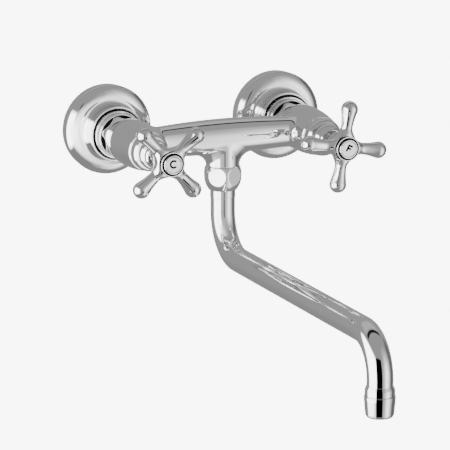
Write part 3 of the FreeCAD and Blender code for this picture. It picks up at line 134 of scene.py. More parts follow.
def facing(points, normals, faces):
    """The same faces, each wound so that it looks the way its corners' normals do."""
    corner = points[faces]
    across = np.cross(corner[:, 2] - corner[:, 0], corner[:, -1] - corner[:, 1])
    away = np.einsum("ij,ij->i", across, normals[faces].mean(1)) < 0
    faces = faces.copy()
    faces[away] = faces[away][:, ::-1]
    return faces


def skin(points, normals, quads, triangles=None, painted_black=None):
    """A surface: points and unit normals (n, 3), corner numbers, and how black a point is painted
    (painted shade, painted dark reflection).
    """
    if triangles is None:
        triangles = np.zeros((0, 3), int)
    if painted_black is None:
        painted_black = np.zeros(len(points))
    normals = normals / np.maximum(np.linalg.norm(normals, axis=1, keepdims=True), 1e-12)
    quads = facing(points, normals, quads) if len(quads) else np.zeros((0, 4), int)
    triangles = facing(points, normals, triangles) if len(triangles) else triangles
    return points, normals, quads, triangles, painted_black


def turned(outline, count=AROUND, painted_black=()):
    """Closed ring: point = (r cos t, r sin t, h) for the closed outline of (r, h).

    The boxes (r from, r to, h from, h to) given last mark the places of the outline painted black:
    painted shade in grooves and hollows, and a painted dark reflection on open faces.
    """
    ahead, behind = np.roll(outline, -1, 0), np.roll(outline, 1, 0)
    tangent = ahead - behind
    area = np.sum(outline[:, 0] * ahead[:, 1] - ahead[:, 0] * outline[:, 1])
    normal = np.column_stack((tangent[:, 1], -tangent[:, 0])) * np.sign(area)
    t = np.linspace(0, 2 * math.pi, count, endpoint=False)
    return skin(spun(outline, t), spun(normal, t), grid_faces(len(outline), count, ring=True),
                painted_black=np.repeat(painted_rows(outline, painted_black), count))


def rings(radius, h, t, sink=0.0):
    """Grid of circles, a row for each height h: (radius cos t, radius sin t + sink, h)."""
    return np.stack((radius * np.cos(t), radius * np.sin(t) + sink, h[:, None] + 0 * t), -1)


def spun(pairs, t):
    """Each (r, h) carried round the upright axis through the angles t, row by row."""
    return rings(pairs[:, :1], pairs[:, 1], t).reshape(-1, 3)


def fans(size, count):
    """Triangles from a grid's first row to point number size, and from its last to size + 1."""
    ring = np.arange(count)
    edge = np.column_stack((ring, np.roll(ring, -1)))
    return np.vstack((
        np.column_stack((edge, np.full(count, size))),
        np.column_stack((edge + size - count, np.full(count, size + 1))),
    ))


def painted_rows(outline, boxes):
    """1 at the places of an outline that lie in a box (r from, r to, h from, h to), else 0: the
    places painted black.
    """
    r, h = outline.T
    black_share = np.zeros(len(outline))
    for inner, outer, low, high in boxes:
        black_share[(r >= inner) & (r <= outer) & (h >= low) & (h <= high)] = 1
    return black_share


def solid_turned(outline, count=AROUND, painted_black=()):
    """Solid of revolution: an outline of (r, h) from axis to axis, both poles closed by fans."""
    rows = outline[1:-1]
    tangent = outline[2:] - outline[:-2]
    upwards = 1.0 if outline[-1, 1] > outline[0, 1] else -1.0
    normal = np.column_stack((tangent[:, 1], -tangent[:, 0])) * upwards
    t = np.linspace(0, 2 * math.pi, count, endpoint=False)
    points, normals = spun(rows, t), spun(normal, t)
    size = len(points)
    poles = np.array([[0, 0, outline[0, 1]], [0, 0, outline[-1, 1]]])
    points = np.vstack((points, poles))
    normals = np.vstack((normals, [[0, 0, -upwards], [0, 0, upwards]]))
    quads = grid_faces(len(rows), count, ring=False)
    black_share = np.concatenate((np.repeat(painted_rows(rows, painted_black), count), [0, 0]))
    return skin(points, normals, quads, fans(size, count), black_share)


def slopes(grid, ring):
    """Normals of a grid (rows, columns, 3): the cross product of its two central differences."""
    along = np.roll(grid, -1, 0) - np.roll(grid, 1, 0)
    if not ring:
        along[0], along[-1] = grid[1] - grid[0], grid[-1] - grid[-2]
    around = np.roll(grid, -1, 1) - np.roll(grid, 1, 1)
    return np.cross(around, along).reshape(-1, 3)


def waved(grid):
    """Closed skin of a grid (rows, columns, 3) that meets itself both ways."""
    normals = slopes(grid, ring=True)
    points = grid.reshape(-1, 3)
    centre = grid.mean(1, keepdims=True)
    size = np.linalg.norm(grid - centre, axis=2).mean(1)
    widest = int(np.argmax(size))
    outward = (grid[widest] - centre[widest]).reshape(-1, 3)
    columns = grid.shape[1]
    there = normals[widest * columns:(widest + 1) * columns]
    if np.sum(outward * there) < 0:
        normals = -normals
    return skin(points, normals, grid_faces(*grid.shape[:2], ring=True))


def cells_at_zero(field, low, high, step):
    """Closed skin where field(x, y, z) is zero, found on a lattice and drawn onto the surface.

    Every lattice cell that the surface passes through gets one point, the mean of the places
    where the cell's edges cross zero; every crossed edge gets a quad through its four cells.
    The points are then moved along the field's slope by field / slope, four times over.
    """
    axes = [np.arange(a, b + step, step) for a, b in zip(low, high)]
    value = field(*np.meshgrid(*axes, indexing="ij", sparse=True))
    inside = value < 0
    cells = tuple(n - 1 for n in value.shape)
    total, count = np.zeros(cells + (3,)), np.zeros(cells)
    offsets = ((0, 0), (0, 1), (1, 0), (1, 1))
    for axis in range(3):
        others = [other for other in range(3) if other != axis]
        for offset in offsets:
            start = [slice(0, n) for n in cells]
            for other, shift in zip(others, offset):
                start[other] = slice(shift, cells[other] + shift)
            end = list(start)
            end[axis] = slice(1, cells[axis] + 1)
            a, b = value[tuple(start)], value[tuple(end)]
            crossed = (a < 0) != (b < 0)
            share = np.where(crossed, a / np.where(crossed, a - b, 1), 0)
            total[..., axis] += share
            for other, shift in zip(others, offset):
                total[..., other] += crossed * shift
            count += crossed
    used = count > 0
    number = np.full(cells, -1)
    number[used] = np.arange(used.sum())
    corner = np.argwhere(used)
    points = np.array(low) + step * (corner + total[used] / count[used][:, None])
    quads = []
    for axis in range(3):
        first, second = [other for other in range(3) if other != axis]
        core = [slice(1, -1)] * 3
        core[axis] = slice(0, -1)
        ahead = list(core)
        ahead[axis] = slice(1, None)
        edge = np.argwhere(inside[tuple(core)] != inside[tuple(ahead)])
        base = edge.copy()
        base[:, first] += 1
        base[:, second] += 1
        four = []
        for back in ((1, 1), (0, 1), (0, 0), (1, 0)):
            place = base.copy()
            place[:, first] -= back[0]
            place[:, second] -= back[1]
            four.append(number[tuple(place.T)])
        quads.append(np.column_stack(four))
    for _ in range(4):
        slope = gradient(field, points)
        length = np.maximum(np.sum(slope ** 2, axis=1, keepdims=True), 0.05)
        points = points - slope * (field(*points.T)[:, None] / length)
    return skin(points, gradient(field, points), np.vstack(quads))


def gradient(field, points, reach=0.02):
    """Slope of the field at points, by central differences."""
    columns = []
    for axis in range(3):
        shift = np.zeros(3)
        shift[axis] = reach
        ahead, behind = points + shift, points - shift
        columns.append((field(*ahead.T) - field(*behind.T)) / (2 * reach))
    return np.column_stack(columns)


def filleted(a, b, radius):
    """Union of two distances with a hollow rounding: radius less the length of (radius - a, b)."""
    inner = np.hypot(np.maximum(radius - a, 0), np.maximum(radius - b, 0))
    return np.maximum(radius, np.minimum(a, b)) - inner


def edge_rounded(a, b, radius):
    """Intersection of two distances with its edge rounded off."""
    outer = np.hypot(np.maximum(a + radius, 0), np.maximum(b + radius, 0))
    return np.minimum(np.maximum(a + radius, b + radius), 0) + outer - radius


def moved(part, change):
    """A skin with its points and normals carried through change(points, is_place)."""
    points, normals, *rest = part
    return change(points, True), change(normals, False), *rest


def on_valve(part, side, turn=0.0):
    """From a valve's own axes to the tap's: (x, y, u) becomes (x, -u, y) on the inlet axis."""
    sizes = bpy.context.scene.mixer_sizes
    angle = math.radians(turn)
    shift = np.array([side * sizes.inlet_spacing / 2, 0, sizes.tap_axis]) / MM

    def change(rows, is_place):
        x = rows[:, 0] * math.cos(angle) - rows[:, 1] * math.sin(angle)
        y = rows[:, 0] * math.sin(angle) + rows[:, 1] * math.cos(angle)
        return np.column_stack((x, -rows[:, 2], y)) + (shift if is_place else 0)

    return moved(part, change)


def under_bridge(part, reach=0.0):
    """From upright axes on the spout, heights counted from the tap's axis, to the tap's place."""
    sizes = bpy.context.scene.mixer_sizes
    shift = np.array([0, -sizes.bridge_out - reach * MM, sizes.tap_axis]) / MM
    return moved(part, lambda rows, is_place: rows + (shift if is_place else 0))


def make_piece(name, skins, finish, body, nodes):
    """One object from several skins, with its finish, riding on its body for its nodes."""
    points, normals, black_share, faces, start = [], [], [], [], 0
    for place, normal, quads, triangles, painted_black in skins:
        points.append(place)
        normals.append(normal)
        black_share.append(painted_black)
        faces += (quads + start).tolist() + (triangles + start).tolist()
        start += len(place)
    mesh = bpy.data.meshes.new(name)
    mesh.from_pydata((np.vstack(points) * MM).tolist(), [], faces)
    mesh.polygons.foreach_set("use_smooth", np.ones(len(faces), bool))
    mesh.normals_split_custom_set_from_vertices(np.vstack(normals).tolist())
    # Painted black at each point: painted shade in grooves and hollows, painted dark reflection on
    # open faces.
    attribute = mesh.attributes.new("painted_black", "FLOAT", "POINT")
    attribute.data.foreach_set("value", np.concatenate(black_share).astype(np.float32))
    mesh.materials.append(finish)
    piece = bpy.data.objects.new(name, mesh)
    bpy.context.scene.collection.objects.link(piece)
    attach(piece, body)
    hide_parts(*nodes)
    return piece


# ---------------------------------------------------------------------------------------------
# Finishes
# ---------------------------------------------------------------------------------------------


def surface_group():
    """Shader group of what a worked surface shows: cloudy polish, fine lines and small waves."""
    group = bpy.data.node_groups.get("worked surface")
    if group:
        return group
    group = bpy.data.node_groups.new("worked surface", "ShaderNodeTree")
    sockets = group.interface
    for name, default in (("Cloud Size", 60.0), ("Line Size", 900.0), ("Cloud Share", 0.5)):
        socket = sockets.new_socket(name, in_out="INPUT", socket_type="NodeSocketFloat")
        socket.default_value = default
    sockets.new_socket("Place", in_out="INPUT", socket_type="NodeSocketVector")
    for name in ("Mask", "Waves"):
        sockets.new_socket(name, in_out="OUTPUT", socket_type="NodeSocketFloat")
    nodes, links = group.nodes, group.links
    given, given_out = nodes.new("NodeGroupInput"), nodes.new("NodeGroupOutput")
    cloud, lines = nodes.new("ShaderNodeTexNoise"), nodes.new("ShaderNodeTexNoise")
    cloud.inputs["Detail"].default_value = 3.0
    lines.inputs["Detail"].default_value = 2.0
    stretch = nodes.new("ShaderNodeMapping")
    stretch.inputs["Scale"].default_value = (1.0, 0.06, 1.0)
    mix = nodes.new("ShaderNodeMix")
    mix.data_type = "FLOAT"
    links.new(given.outputs["Place"], cloud.inputs["Vector"])
    links.new(given.outputs["Place"], stretch.inputs["Vector"])
    links.new(stretch.outputs["Vector"], lines.inputs["Vector"])
    links.new(given.outputs["Cloud Size"], cloud.inputs["Scale"])
    links.new(given.outputs["Line Size"], lines.inputs["Scale"])
    links.new(given.outputs["Cloud Share"], mix.inputs[0])
    links.new(lines.outputs[0], mix.inputs[2])
    links.new(cloud.outputs[0], mix.inputs[3])
    links.new(mix.outputs[0], given_out.inputs["Mask"])
    links.new(cloud.outputs[0], given_out.inputs["Waves"])
    return group


def finish(name, colours, roughness, metallic=0.0, sizes=(60.0, 900.0, 0.5), waves=0.0):
    """A finish: two near colours and two roughnesses mixed by the worked surface, small waves."""
    material = bpy.data.materials.get(name)
    if material:
        return material
    material = bpy.data.materials.new(name)
    material.use_nodes = True
    nodes, links = material.node_tree.nodes, material.node_tree.links
    shader = nodes["Principled BSDF"]
    shader.inputs["Metallic"].default_value = metallic
    where = nodes.new("ShaderNodeTexCoord")
    worked = nodes.new("ShaderNodeGroup")
    worked.node_tree = surface_group()
    for socket, value in zip(("Cloud Size", "Line Size", "Cloud Share"), sizes):
        worked.inputs[socket].default_value = value
    links.new(where.outputs["Object"], worked.inputs["Place"])
    colour = nodes.new("ShaderNodeMix")
    colour.data_type = "RGBA"
    colour.inputs[6].default_value = (*colours[0], 1.0)
    colour.inputs[7].default_value = (*colours[1], 1.0)
    links.new(worked.outputs["Mask"], colour.inputs[0])
    links.new(colour.outputs[2], shader.inputs["Base Color"])
    rough = nodes.new("ShaderNodeMapRange")
    rough.inputs["To Min"].default_value = roughness[0]
    rough.inputs["To Max"].default_value = roughness[1]
    links.new(worked.outputs["Mask"], rough.inputs["Value"])
    links.new(rough.outputs["Result"], shader.inputs["Roughness"])
    if waves:
        bump = nodes.new("ShaderNodeBump")
        bump.inputs["Distance"].default_value = waves
        links.new(worked.outputs["Waves"], bump.inputs["Height"])
        links.new(bump.outputs["Normal"], shader.inputs["Normal"])
    return material


def chrome():
    """Polished chrome: mirror bright, with the faintest clouds and waves of the buffing wheel.

    Where a piece's attribute marks a point the mirror gives way to painted black: painted shade in
    deep grooves and hollows, and a painted dark reflection on the side of the hub's rim and the
    slope of the cap, which are open faces.
    """
    name = "polished chrome"
    material = bpy.data.materials.get(name)
    if material:
        return material
    tint = bpy.context.scene.mixer_looks.chrome_tint
    light = tuple(min(1.0, part * 1.02) for part in tint)
    material = finish(name, (tuple(tint), light), (0.03, 0.06), metallic=1.0,
                      sizes=(45.0, 700.0, 0.8), waves=0.00002)
    nodes, links = material.node_tree.nodes, material.node_tree.links
    # Painted shade and painted dark reflection: near black base colour and no metal where the
    # attribute marks a point.
    shader, black_share = nodes["Principled BSDF"], nodes.new("ShaderNodeAttribute")
    black_share.attribute_name = "painted_black"
    darker = nodes.new("ShaderNodeMix")
    darker.data_type = "RGBA"
    links.new(black_share.outputs["Fac"], darker.inputs[0])
    links.new(shader.inputs["Base Color"].links[0].from_socket, darker.inputs[6])
    darker.inputs[7].default_value = (0.004, 0.004, 0.004, 1.0)
    links.new(darker.outputs[2], shader.inputs["Base Color"])
    fading = nodes.new("ShaderNodeMapRange")
    fading.inputs["To Min"].default_value = 1.0
    fading.inputs["To Max"].default_value = 0.0
    links.new(black_share.outputs["Fac"], fading.inputs["Value"])
    links.new(fading.outputs["Result"], shader.inputs["Metallic"])
    # A metal takes no notice of it; where the mirror gives way to painted black it keeps the
    # painted black from shining.
    shader.inputs["Specular IOR Level"].default_value = 0.0
    return material


def polished(name, skins, body, node):
    """One polished piece, in the place of one node of the frame."""
    return make_piece(name, skins, chrome(), body, [node])


def brass():
    """Turned brass: warm, with fine tool lines."""
    return finish("turned brass", ((0.62, 0.45, 0.2), (0.74, 0.58, 0.3)), (0.2, 0.34),
                  metallic=1.0, sizes=(120.0, 2500.0, 0.3), waves=0.00002)


def steel():
    """Bright stainless steel of the small hardware."""
    return finish("bright steel", ((0.5, 0.5, 0.5), (0.66, 0.66, 0.65)), (0.18, 0.3),
                  metallic=1.0, sizes=(200.0, 2500.0, 0.4))


def rubber():
    """Black rubber with a dusty bloom."""
    return finish("black rubber", ((0.012, 0.012, 0.012), (0.03, 0.03, 0.03)), (0.5, 0.75),
                  sizes=(300.0, 3000.0, 0.6), waves=0.00003)


def fibre():
    """Pressed red-brown fibre with a coarse grain."""
    return finish("pressed fibre", ((0.22, 0.06, 0.04), (0.4, 0.14, 0.09)), (0.6, 0.85),
                  sizes=(700.0, 2400.0, 0.7), waves=0.00005)


def nylon():
    """Satin white nylon."""
    return finish("white nylon", ((0.78, 0.77, 0.72), (0.86, 0.85, 0.81)), (0.35, 0.5),
                  sizes=(250.0, 1500.0, 0.6), waves=0.00002)


def grey_plastic():
    """Moulded grey plastic of the aerator's cup."""
    return finish("grey plastic", ((0.5, 0.51, 0.52), (0.6, 0.61, 0.62)), (0.3, 0.42),
                  sizes=(300.0, 1800.0, 0.7), waves=0.00002)


def enamel():
    """Black enamel, dulled by use, with a few soft clouds."""
    material = finish("black enamel", ((0.002, 0.002, 0.002), (0.006, 0.006, 0.006)), (0.5, 0.65),
                      sizes=(900.0, 3000.0, 0.7))
    shader = material.node_tree.nodes["Principled BSDF"]
    shader.inputs["Specular IOR Level"].default_value = 0.05
    return material


def woven_steel():
    """Woven steel screen: two crossed waves leave bright wires and dark holes between them."""
    name = "woven steel"
    material = bpy.data.materials.get(name)
    if material:
        return material
    material = finish(name, ((0.4, 0.4, 0.4), (0.6, 0.6, 0.58)), (0.25, 0.4), metallic=1.0)
    nodes, links = material.node_tree.nodes, material.node_tree.links
    shader, where = nodes["Principled BSDF"], nodes["Texture Coordinate"]
    waves = []
    for direction in ("X", "Y"):
        wave = nodes.new("ShaderNodeTexWave")
        wave.bands_direction = direction
        wave.inputs["Scale"].default_value = 500.0
        links.new(where.outputs["Object"], wave.inputs["Vector"])
        waves.append(wave)
    wires = nodes.new("ShaderNodeMath")
    wires.operation = "MAXIMUM"
    links.new(waves[0].outputs["Fac"], wires.inputs[0])
    links.new(waves[1].outputs["Fac"], wires.inputs[1])
    dark = nodes.new("ShaderNodeMix")
    dark.data_type = "RGBA"
    dark.inputs[6].default_value = (0.02, 0.02, 0.02, 1.0)
    links.new(wires.outputs[0], dark.inputs[0])
    links.new(shader.inputs["Base Color"].links[0].from_socket, dark.inputs[7])
    links.new(dark.outputs[2], shader.inputs["Base Color"])
    bump = nodes.new("ShaderNodeBump")
    bump.inputs["Distance"].default_value = 0.0002
    links.new(wires.outputs[0], bump.inputs["Height"])
    links.new(bump.outputs["Normal"], shader.inputs["Normal"])
    return material


# ---------------------------------------------------------------------------------------------
# Places along a valve (from the wall) and under the bridge (from the tap's axis), in millimetres
# ---------------------------------------------------------------------------------------------

BARREL_BACK = 54.8
BARREL_FRONT = 100.0
HUB_BACK = 131.0
HUB_FRONT = 154.3
COLLAR_LOW = -23.0
TUBE_TOP = -49.3


def casting_field(x, y, z):
    """Distance to the casting's outside, from the tap's axis, in millimetres.

    Barrel: radius 18.9 less the drop of a circle of 158 along its length, ends rounded by 1.2.
    Bridge: a round of 14.4 - 3.77 s^2 + 0.67 s^4 about a line that rises by 0.9 (1 - s^2), s
    being the share of the way to a barrel. Collar: an upright round of 13.6. A hollow rounding
    of 4.5 joins barrel and bridge; that between collar and bridge is 11 at the sides and fades
    to nothing in front, with one less the cosine between the two surfaces.
    """
    barrel_radius, barrel_bend, barrel_widest = 18.9, 158.0, 70.0
    bridge_radius, bridge_arch, collar_radius = 14.4, 0.9, 13.6
    sizes = bpy.context.scene.mixer_sizes
    half, out = sizes.inlet_spacing / 2 / MM, sizes.bridge_out / MM
    across, u = np.abs(x), -y
    drop = barrel_bend - np.sqrt(barrel_bend ** 2 - (u - barrel_widest) ** 2)
    wall = np.hypot(across - half, z) - (barrel_radius - drop)
    back, front = BARREL_BACK + 1.9, BARREL_FRONT
    ends = np.abs(u - (back + front) / 2) - (front - back) / 2
    barrel = edge_rounded(wall, ends, 1.2)
    share = across / half
    forward, height = y + out, z - bridge_arch * (1 - share ** 2)
    around = np.hypot(forward, height)
    bridge = around - (bridge_radius - 3.767 * share ** 2 + 0.667 * share ** 4)
    bridge = np.maximum(bridge, across - half)
    upright = np.hypot(x, forward)
    collar = edge_rounded(upright - collar_radius,
                          np.abs(z - COLLAR_LOW / 2) + COLLAR_LOW / 2, 0.5)
    level = forward ** 2 / np.maximum(around * upright, 1e-6)
    body = filleted(bridge, collar, 11.0 * np.clip(1 - level, 0.02, 1))
    return filleted(body, barrel, 4.5)


def handle_field(x, y, u):
    """Distance to hub and arms, u from the hub's back: a cone into a cylinder, and four arms.

    An arm is a round of 4.7 up to 14 from the axis, then 4.7 plus the drop of a circle of 58.7,
    and past 28.9 a ball of 6.85 about 30.65. Hub and arms meet in a hollow rounding of 7.
    """
    neck, knob, start, centre = 4.7, 6.85, 14.0, 30.65
    hollow, touch, arm_height = 58.7, 28.91, 13.5
    hub_back_radius, hub_front_radius, hub_half, hub_edge = 9.3, 10.2, 8.8, 0.7
    hub_radius = np.minimum(hub_back_radius + 0.9 * u / arm_height, hub_front_radius)
    hub = edge_rounded(np.hypot(x, y) - hub_radius, np.abs(u - hub_half) - hub_half, hub_edge)
    along = np.maximum(np.abs(x), np.abs(y))
    off = np.hypot(np.minimum(np.abs(x), np.abs(y)), u - arm_height)
    run = np.clip(along - start, 0, touch - start)
    fall = np.sqrt(hollow ** 2 - run ** 2)
    stem = (off - (neck + hollow - fall)) * fall / hollow
    ball = np.hypot(along - centre, off) - knob
    return filleted(hub, np.where(along < touch, stem, ball), 7.0)


def domed_hexagon(bore, outside, widest_at, length, flats, turn, rows=72, columns=384):
    """Domed hexagon nut with a round bore, its open end at height 0.

    The outside at height h is a circle's arc through the two end radii and the widest one; it
    is cut to flats / 2 / cos(t - flat's direction), the smaller of the two taken with a soft
    edge: the smaller less (soft - difference)^2 / (4 soft).
    """
    end, widest, small = outside
    h = np.concatenate((np.linspace(0, 0.3, 4), np.linspace(0.6, length - 0.6, rows),
                        np.linspace(length - 0.3, length, 4)))
    rear = ((widest - end) ** 2 + widest_at ** 2) / (2 * (widest - end))
    run = length - widest_at
    front = ((widest - small) ** 2 + run ** 2) / (2 * (widest - small))
    bend = np.where(h < widest_at, rear, front)
    dome = widest - bend + np.sqrt(bend ** 2 - (h - widest_at) ** 2)
    edge = np.minimum(h, length - h)
    dome = dome - 0.3 + np.sqrt(np.clip(0.09 - np.clip(0.3 - edge, 0, 0.3) ** 2, 0, None))
    t = np.linspace(0, 2 * math.pi, columns, endpoint=False)
    sector = (np.degrees(t) - turn + 30) % 60 - 30
    flat = flats / 2 / np.cos(np.radians(sector))
    a, b = np.broadcast_arrays(dome[:, None], flat[None, :])
    soft = 0.3
    radius = np.minimum(a, b) - np.clip(soft - np.abs(a - b), 0, None) ** 2 / (4 * soft)
    outer = rings(radius, h, t)
    inner_h = np.array([length, length - 0.3, 0.3, 0.0])
    inner_r = np.array([bore + 0.3, bore, bore, bore + 0.3])
    return waved(np.vstack((outer, rings(inner_r[:, None], inner_h, t))))


def flipped(part, height):
    """A skin turned upside down below a height: z becomes height - z, y becomes -y."""
    factor = np.array([1, -1, -1])
    shift = np.array([0, 0, height])
    return moved(part, lambda rows, is_place: rows * factor + (shift if is_place else 0))


def lifted(part, height):
    """A skin moved along its axis."""
    shift = np.array([0, 0, height])
    return moved(part, lambda rows, is_place: rows + (shift if is_place else 0))


# ---------------------------------------------------------------------------------------------
# Operators, one for each piece or group of like pieces
# ---------------------------------------------------------------------------------------------


class MixerOperator:
    """What all operators here share."""

    bl_options = {"REGISTER", "UNDO"}


class MIXER_OT_casting(MixerOperator, bpy.types.Operator):
    """Make the casting: two barrels, the bridge between them and the collar of the spout"""

    bl_idname = "mixer.casting"
    bl_label = "Casting"

    def execute(self, context):
        step = 0.7
        shape = cells_at_zero(casting_field, (-98, -103, -26), (98, -52, 22), step)
        height = context.scene.mixer_sizes.tap_axis / MM
        shift = np.array([0, 0, height])
        parts = [moved(shape, lambda rows, is_place: rows + (shift if is_place else 0))]
        bead = rounded([
            (10.6, BARREL_BACK, 0.2), (16.9, BARREL_BACK, 0.45), (16.9, BARREL_BACK + 1.4, 0.45),
            (16.35, BARREL_BACK + 1.4, 0.05), (16.35, BARREL_BACK + 3.0, 0.2),
            (10.6, BARREL_BACK + 3.0, 0.2),
        ])
        for _, side in SIDES:
            parts.append(on_valve(turned(bead), side))
        polished("casting", parts, "tap_body", "bridge_body")
        return {"FINISHED"}


class MIXER_OT_flanges(MixerOperator, bpy.types.Operator):
    """Make the two bell-shaped wall flanges with their flared mouths"""

    bl_idname = "mixer.flanges"
    bl_label = "Wall flanges"

    def execute(self, context):
        widest = context.scene.mixer_sizes.flange_radius / MM
        dome, cove = 12.8, 4.7
        crest = widest - 10.5
        neck = crest - cove
        profile = rounded([
            (widest - 2.1, 0.0, 0.3),
            (widest - 0.6, 0.0, 0.4),
            (widest - 0.05, 8.6, 6.0),
            arc((widest - 3.0, 9.51), 3.0, 4, 39, 10),
            arc((crest, 3.2), dome, 41, 90, 24),
            arc((crest, 20.7), cove, 270, 180, 20),
            (neck, 26.0, 3.0),
            (neck + 1.5, 30.6, 0.9),
            (neck - 0.6, 31.0, 0.9),
            (neck - 1.5, 28.0, 2.0),
            (neck - 1.5, 20.0, 0.4),
            (16.3, 20.0, 0.4),
            (16.3, 22.5, 0.4),
            (13.3, 22.5, 0.3),
            (13.3, 14.5, 0.3),
            arc((crest, 3.2), dome - 1.5, 90, 41, 16),
            (widest - 1.5, 9.0, 0.0),
        ])
        for name, side in SIDES:
            # Painted shade: the inside of the bell, within the neck, is painted black.
            shape = turned(profile, 256, [(0, neck - 1.4, 0, 29)])
            polished(f"{name}_flange", [on_valve(shape, side)], "tap_body", f"{name}_wall_flange")
        return {"FINISHED"}


class MIXER_OT_unions(MixerOperator, bpy.types.Operator):
    """Make the unions behind the barrels: cranked connectors, stepped nuts and tailpieces"""

    bl_idname = "mixer.unions"
    bl_label = "Unions"

    def execute(self, context):
        tail = rounded([
            (7.0, 40.0, 0.1), (12.72, 40.0, 0.1), (12.72, 42.6, 0.1), (9.9, 42.6, 0.1),
            (9.9, 54.6, 0.2), (9.0, 54.8, 0.1), (9.0, 60.0, 0.1), (7.0, 60.0, 0.1),
        ])
        hexagon = domed_hexagon(10.4, (16.3, 16.8, 12.2), 2.0, 12.2, 30.6, 15.0)
        # Painted shade: the skirt's step and its front face at the hexagon's foot are painted
        # black.
        skirt = turned(rounded([
            (13.3, 28.0, 0.3), (19.7, 28.0, 0.5), (19.7, 33.6, 0.5), (18.3, 33.6, 0.1),
            (18.0, 33.8, 0.1), (18.0, 38.0, 0.5), (16.9, 38.0, 0.1), (16.2, 37.9, 0.1),
            (13.3, 37.9, 0.1),
        ]), 256, [(0, 18.2, 33.5, 33.9), (0, 17.0, 37.8, 38.1)])
        for name, side in SIDES:
            parts = [on_valve(part, side) for part in (lifted(hexagon, 37.8), skirt)]
            polished(f"{name}_nut", parts, "tap_body", f"{name}_union_nut")
            polished(f"{name}_tailpiece", [on_valve(turned(tail), side)],
                     "tap_body", f"{name}_union_tailpiece")
            polished(f"{name}_connector", [on_valve(self.connector(), side)],
                     "tap_body", f"{name}_eccentric_union")
        return {"FINISHED"}

    def connector(self):
        """Cranked connector: rings whose middle drops by 8 towards the wall, threads on both ends.

        A thread's radius is the outer one less its depth times |2 fraction - 1|, the fraction
        being that of (height / pitch - turn).
        """
        t = np.linspace(0, 2 * math.pi, 96, endpoint=False)
        wall_end, tap_end = np.linspace(-18, 0, 121), np.linspace(12, 38, 157)
        crank = np.linspace(0.4, 11.6, 12)
        h = np.concatenate((wall_end, crank, tap_end))
        outer = np.interp(h, (-18, 0, 0.4, 12, 38), (10.48, 10.48, 11.6, 13.2, 13.2))
        depth = np.interp(h, (-18, -17, -2, 0, 12, 13, 37, 38),
                          (1.5, 1.1, 1.1, 0, 0, 1.1, 1.1, 1.5))
        fraction = (h[:, None] / 1.814 - t / (2 * math.pi)) % 1.0
        radius = outer[:, None] - depth[:, None] * np.abs(2 * fraction - 1)
        sink = np.interp(h, (0, 12), (-8.0, 0.0))
        outside = rings(radius, h, t, sink[:, None])
        bore_h = np.array([38.0, 37.7, 25.0, 12.0, 6.0, 0.0, -17.7, -18.0])
        bore_r = np.interp(bore_h, (-18, -17.7, 0, 12, 37.7, 38), (7.5, 7.2, 7.2, 9.0, 9.0, 9.3))
        bore_sink = np.interp(bore_h, (0, 12), (-8.0, 0.0))
        inside = rings(bore_r[:, None], bore_h, t, bore_sink[:, None])
        return waved(np.vstack((outside, inside)))


class MIXER_OT_bonnets(MixerOperator, bpy.types.Operator):
    """Make the stepped shrouds in front of the barrels and the spindles in them"""

    bl_idname = "mixer.bonnets"
    bl_label = "Shrouds and spindles"

    def execute(self, context):
        shroud = rounded([
            (14.3, BARREL_FRONT, 0.1),
            (14.9, BARREL_FRONT, 0.2),
            (15.3, BARREL_FRONT + 0.8, 0.8),
            arc((10.3, 105.4), 5.0, 3, 66, 16),
            (11.9, 110.3, 0.2),
            (11.8, 111.4, 0.2),
            (12.4, 111.9, 0.4),
            arc((7.4, 112.8), 5.0, 6, 58, 14),
            (9.6, 117.4, 0.2),
            (9.6, 118.2, 0.2),
            (10.4, 118.6, 0.4),
            (10.2, 121.2, 0.8),
            (9.2, 122.4, 0.5),
            (8.4, 122.4, 0.2),
            (8.3, 112.0, 0.2),
            (10.4, 107.6, 0.2),
            (14.3, 106.0, 0.2),
        ])
        spindle = rounded([
            (0.0, 81.95, 0.0), (3.95, 81.95, 0.3), (3.95, 88.0, 0.1), (5.95, 88.0, 0.1),
            (5.95, 91.0, 0.1), (4.5, 91.0, 0.1), (4.5, HUB_BACK, 0.1), (3.9, HUB_BACK, 0.1),
            (3.9, 143.0, 0.3), (0.0, 143.0, 0.0),
        ], closed=False)
        for name, side in SIDES:
            # Painted shade: the shroud's two grooves and its bore are painted black.
            shape = turned(shroud, 256, [(0, 12.0, 110.1, 111.5), (0, 9.7, 117.2, 118.3),
                                         (0, 8.4, 100, 122)])
            polished(f"{name}_shroud", [on_valve(shape, side)],
                     "tap_body", f"{name}_bonnet_shroud")
            polished(f"{name}_turned_spindle", [on_valve(solid_turned(spindle, 96), side)],
                     f"{name}_handle", f"{name}_spindle")
        return {"FINISHED"}


class MIXER_OT_handles(MixerOperator, bpy.types.Operator):
    """Make the two cross handles: a hub with four arms that swell into rounded ends"""

    bl_idname = "mixer.handles"
    bl_label = "Cross handles"

    def execute(self, context):
        looks = context.scene.mixer_looks
        step = 0.55
        shape = cells_at_zero(handle_field, (-39, -39, -1.5), (39, 39, 22.5), step)
        nose = rounded([
            (8.0, 16.5, 0.2), (9.9, 16.8, 0.1), (9.9, 17.1, 0.0), (9.9, 21.9, 0.0),
            (9.9, 22.6, 0.3), (9.1, 22.6, 0.25), (8.95, 22.3, 0.05), (8.95, 22.2, 0.0),
            (8.95, 21.3, 0.2), (3.0, 21.3, 0.2), (3.0, 16.5, 0.2),
        ])
        # Painted black: a painted dark reflection on the nose's outer side, painted shade in the
        # seat before the cap.
        nose = turned(nose, 256, [(9.88, 9.92, 16.5, 22.0), (0, 8.96, 21.0, 22.4)])
        turns = {"hot": math.degrees(looks.hot_turn), "cold": math.degrees(looks.cold_turn)}
        for name, side in SIDES:
            parts = [on_valve(lifted(part, HUB_BACK), side, turns[name])
                     for part in (shape, nose)]
            polished(f"{name}_cross", parts, f"{name}_handle", f"{name}_cross_handle")
        return {"FINISHED"}


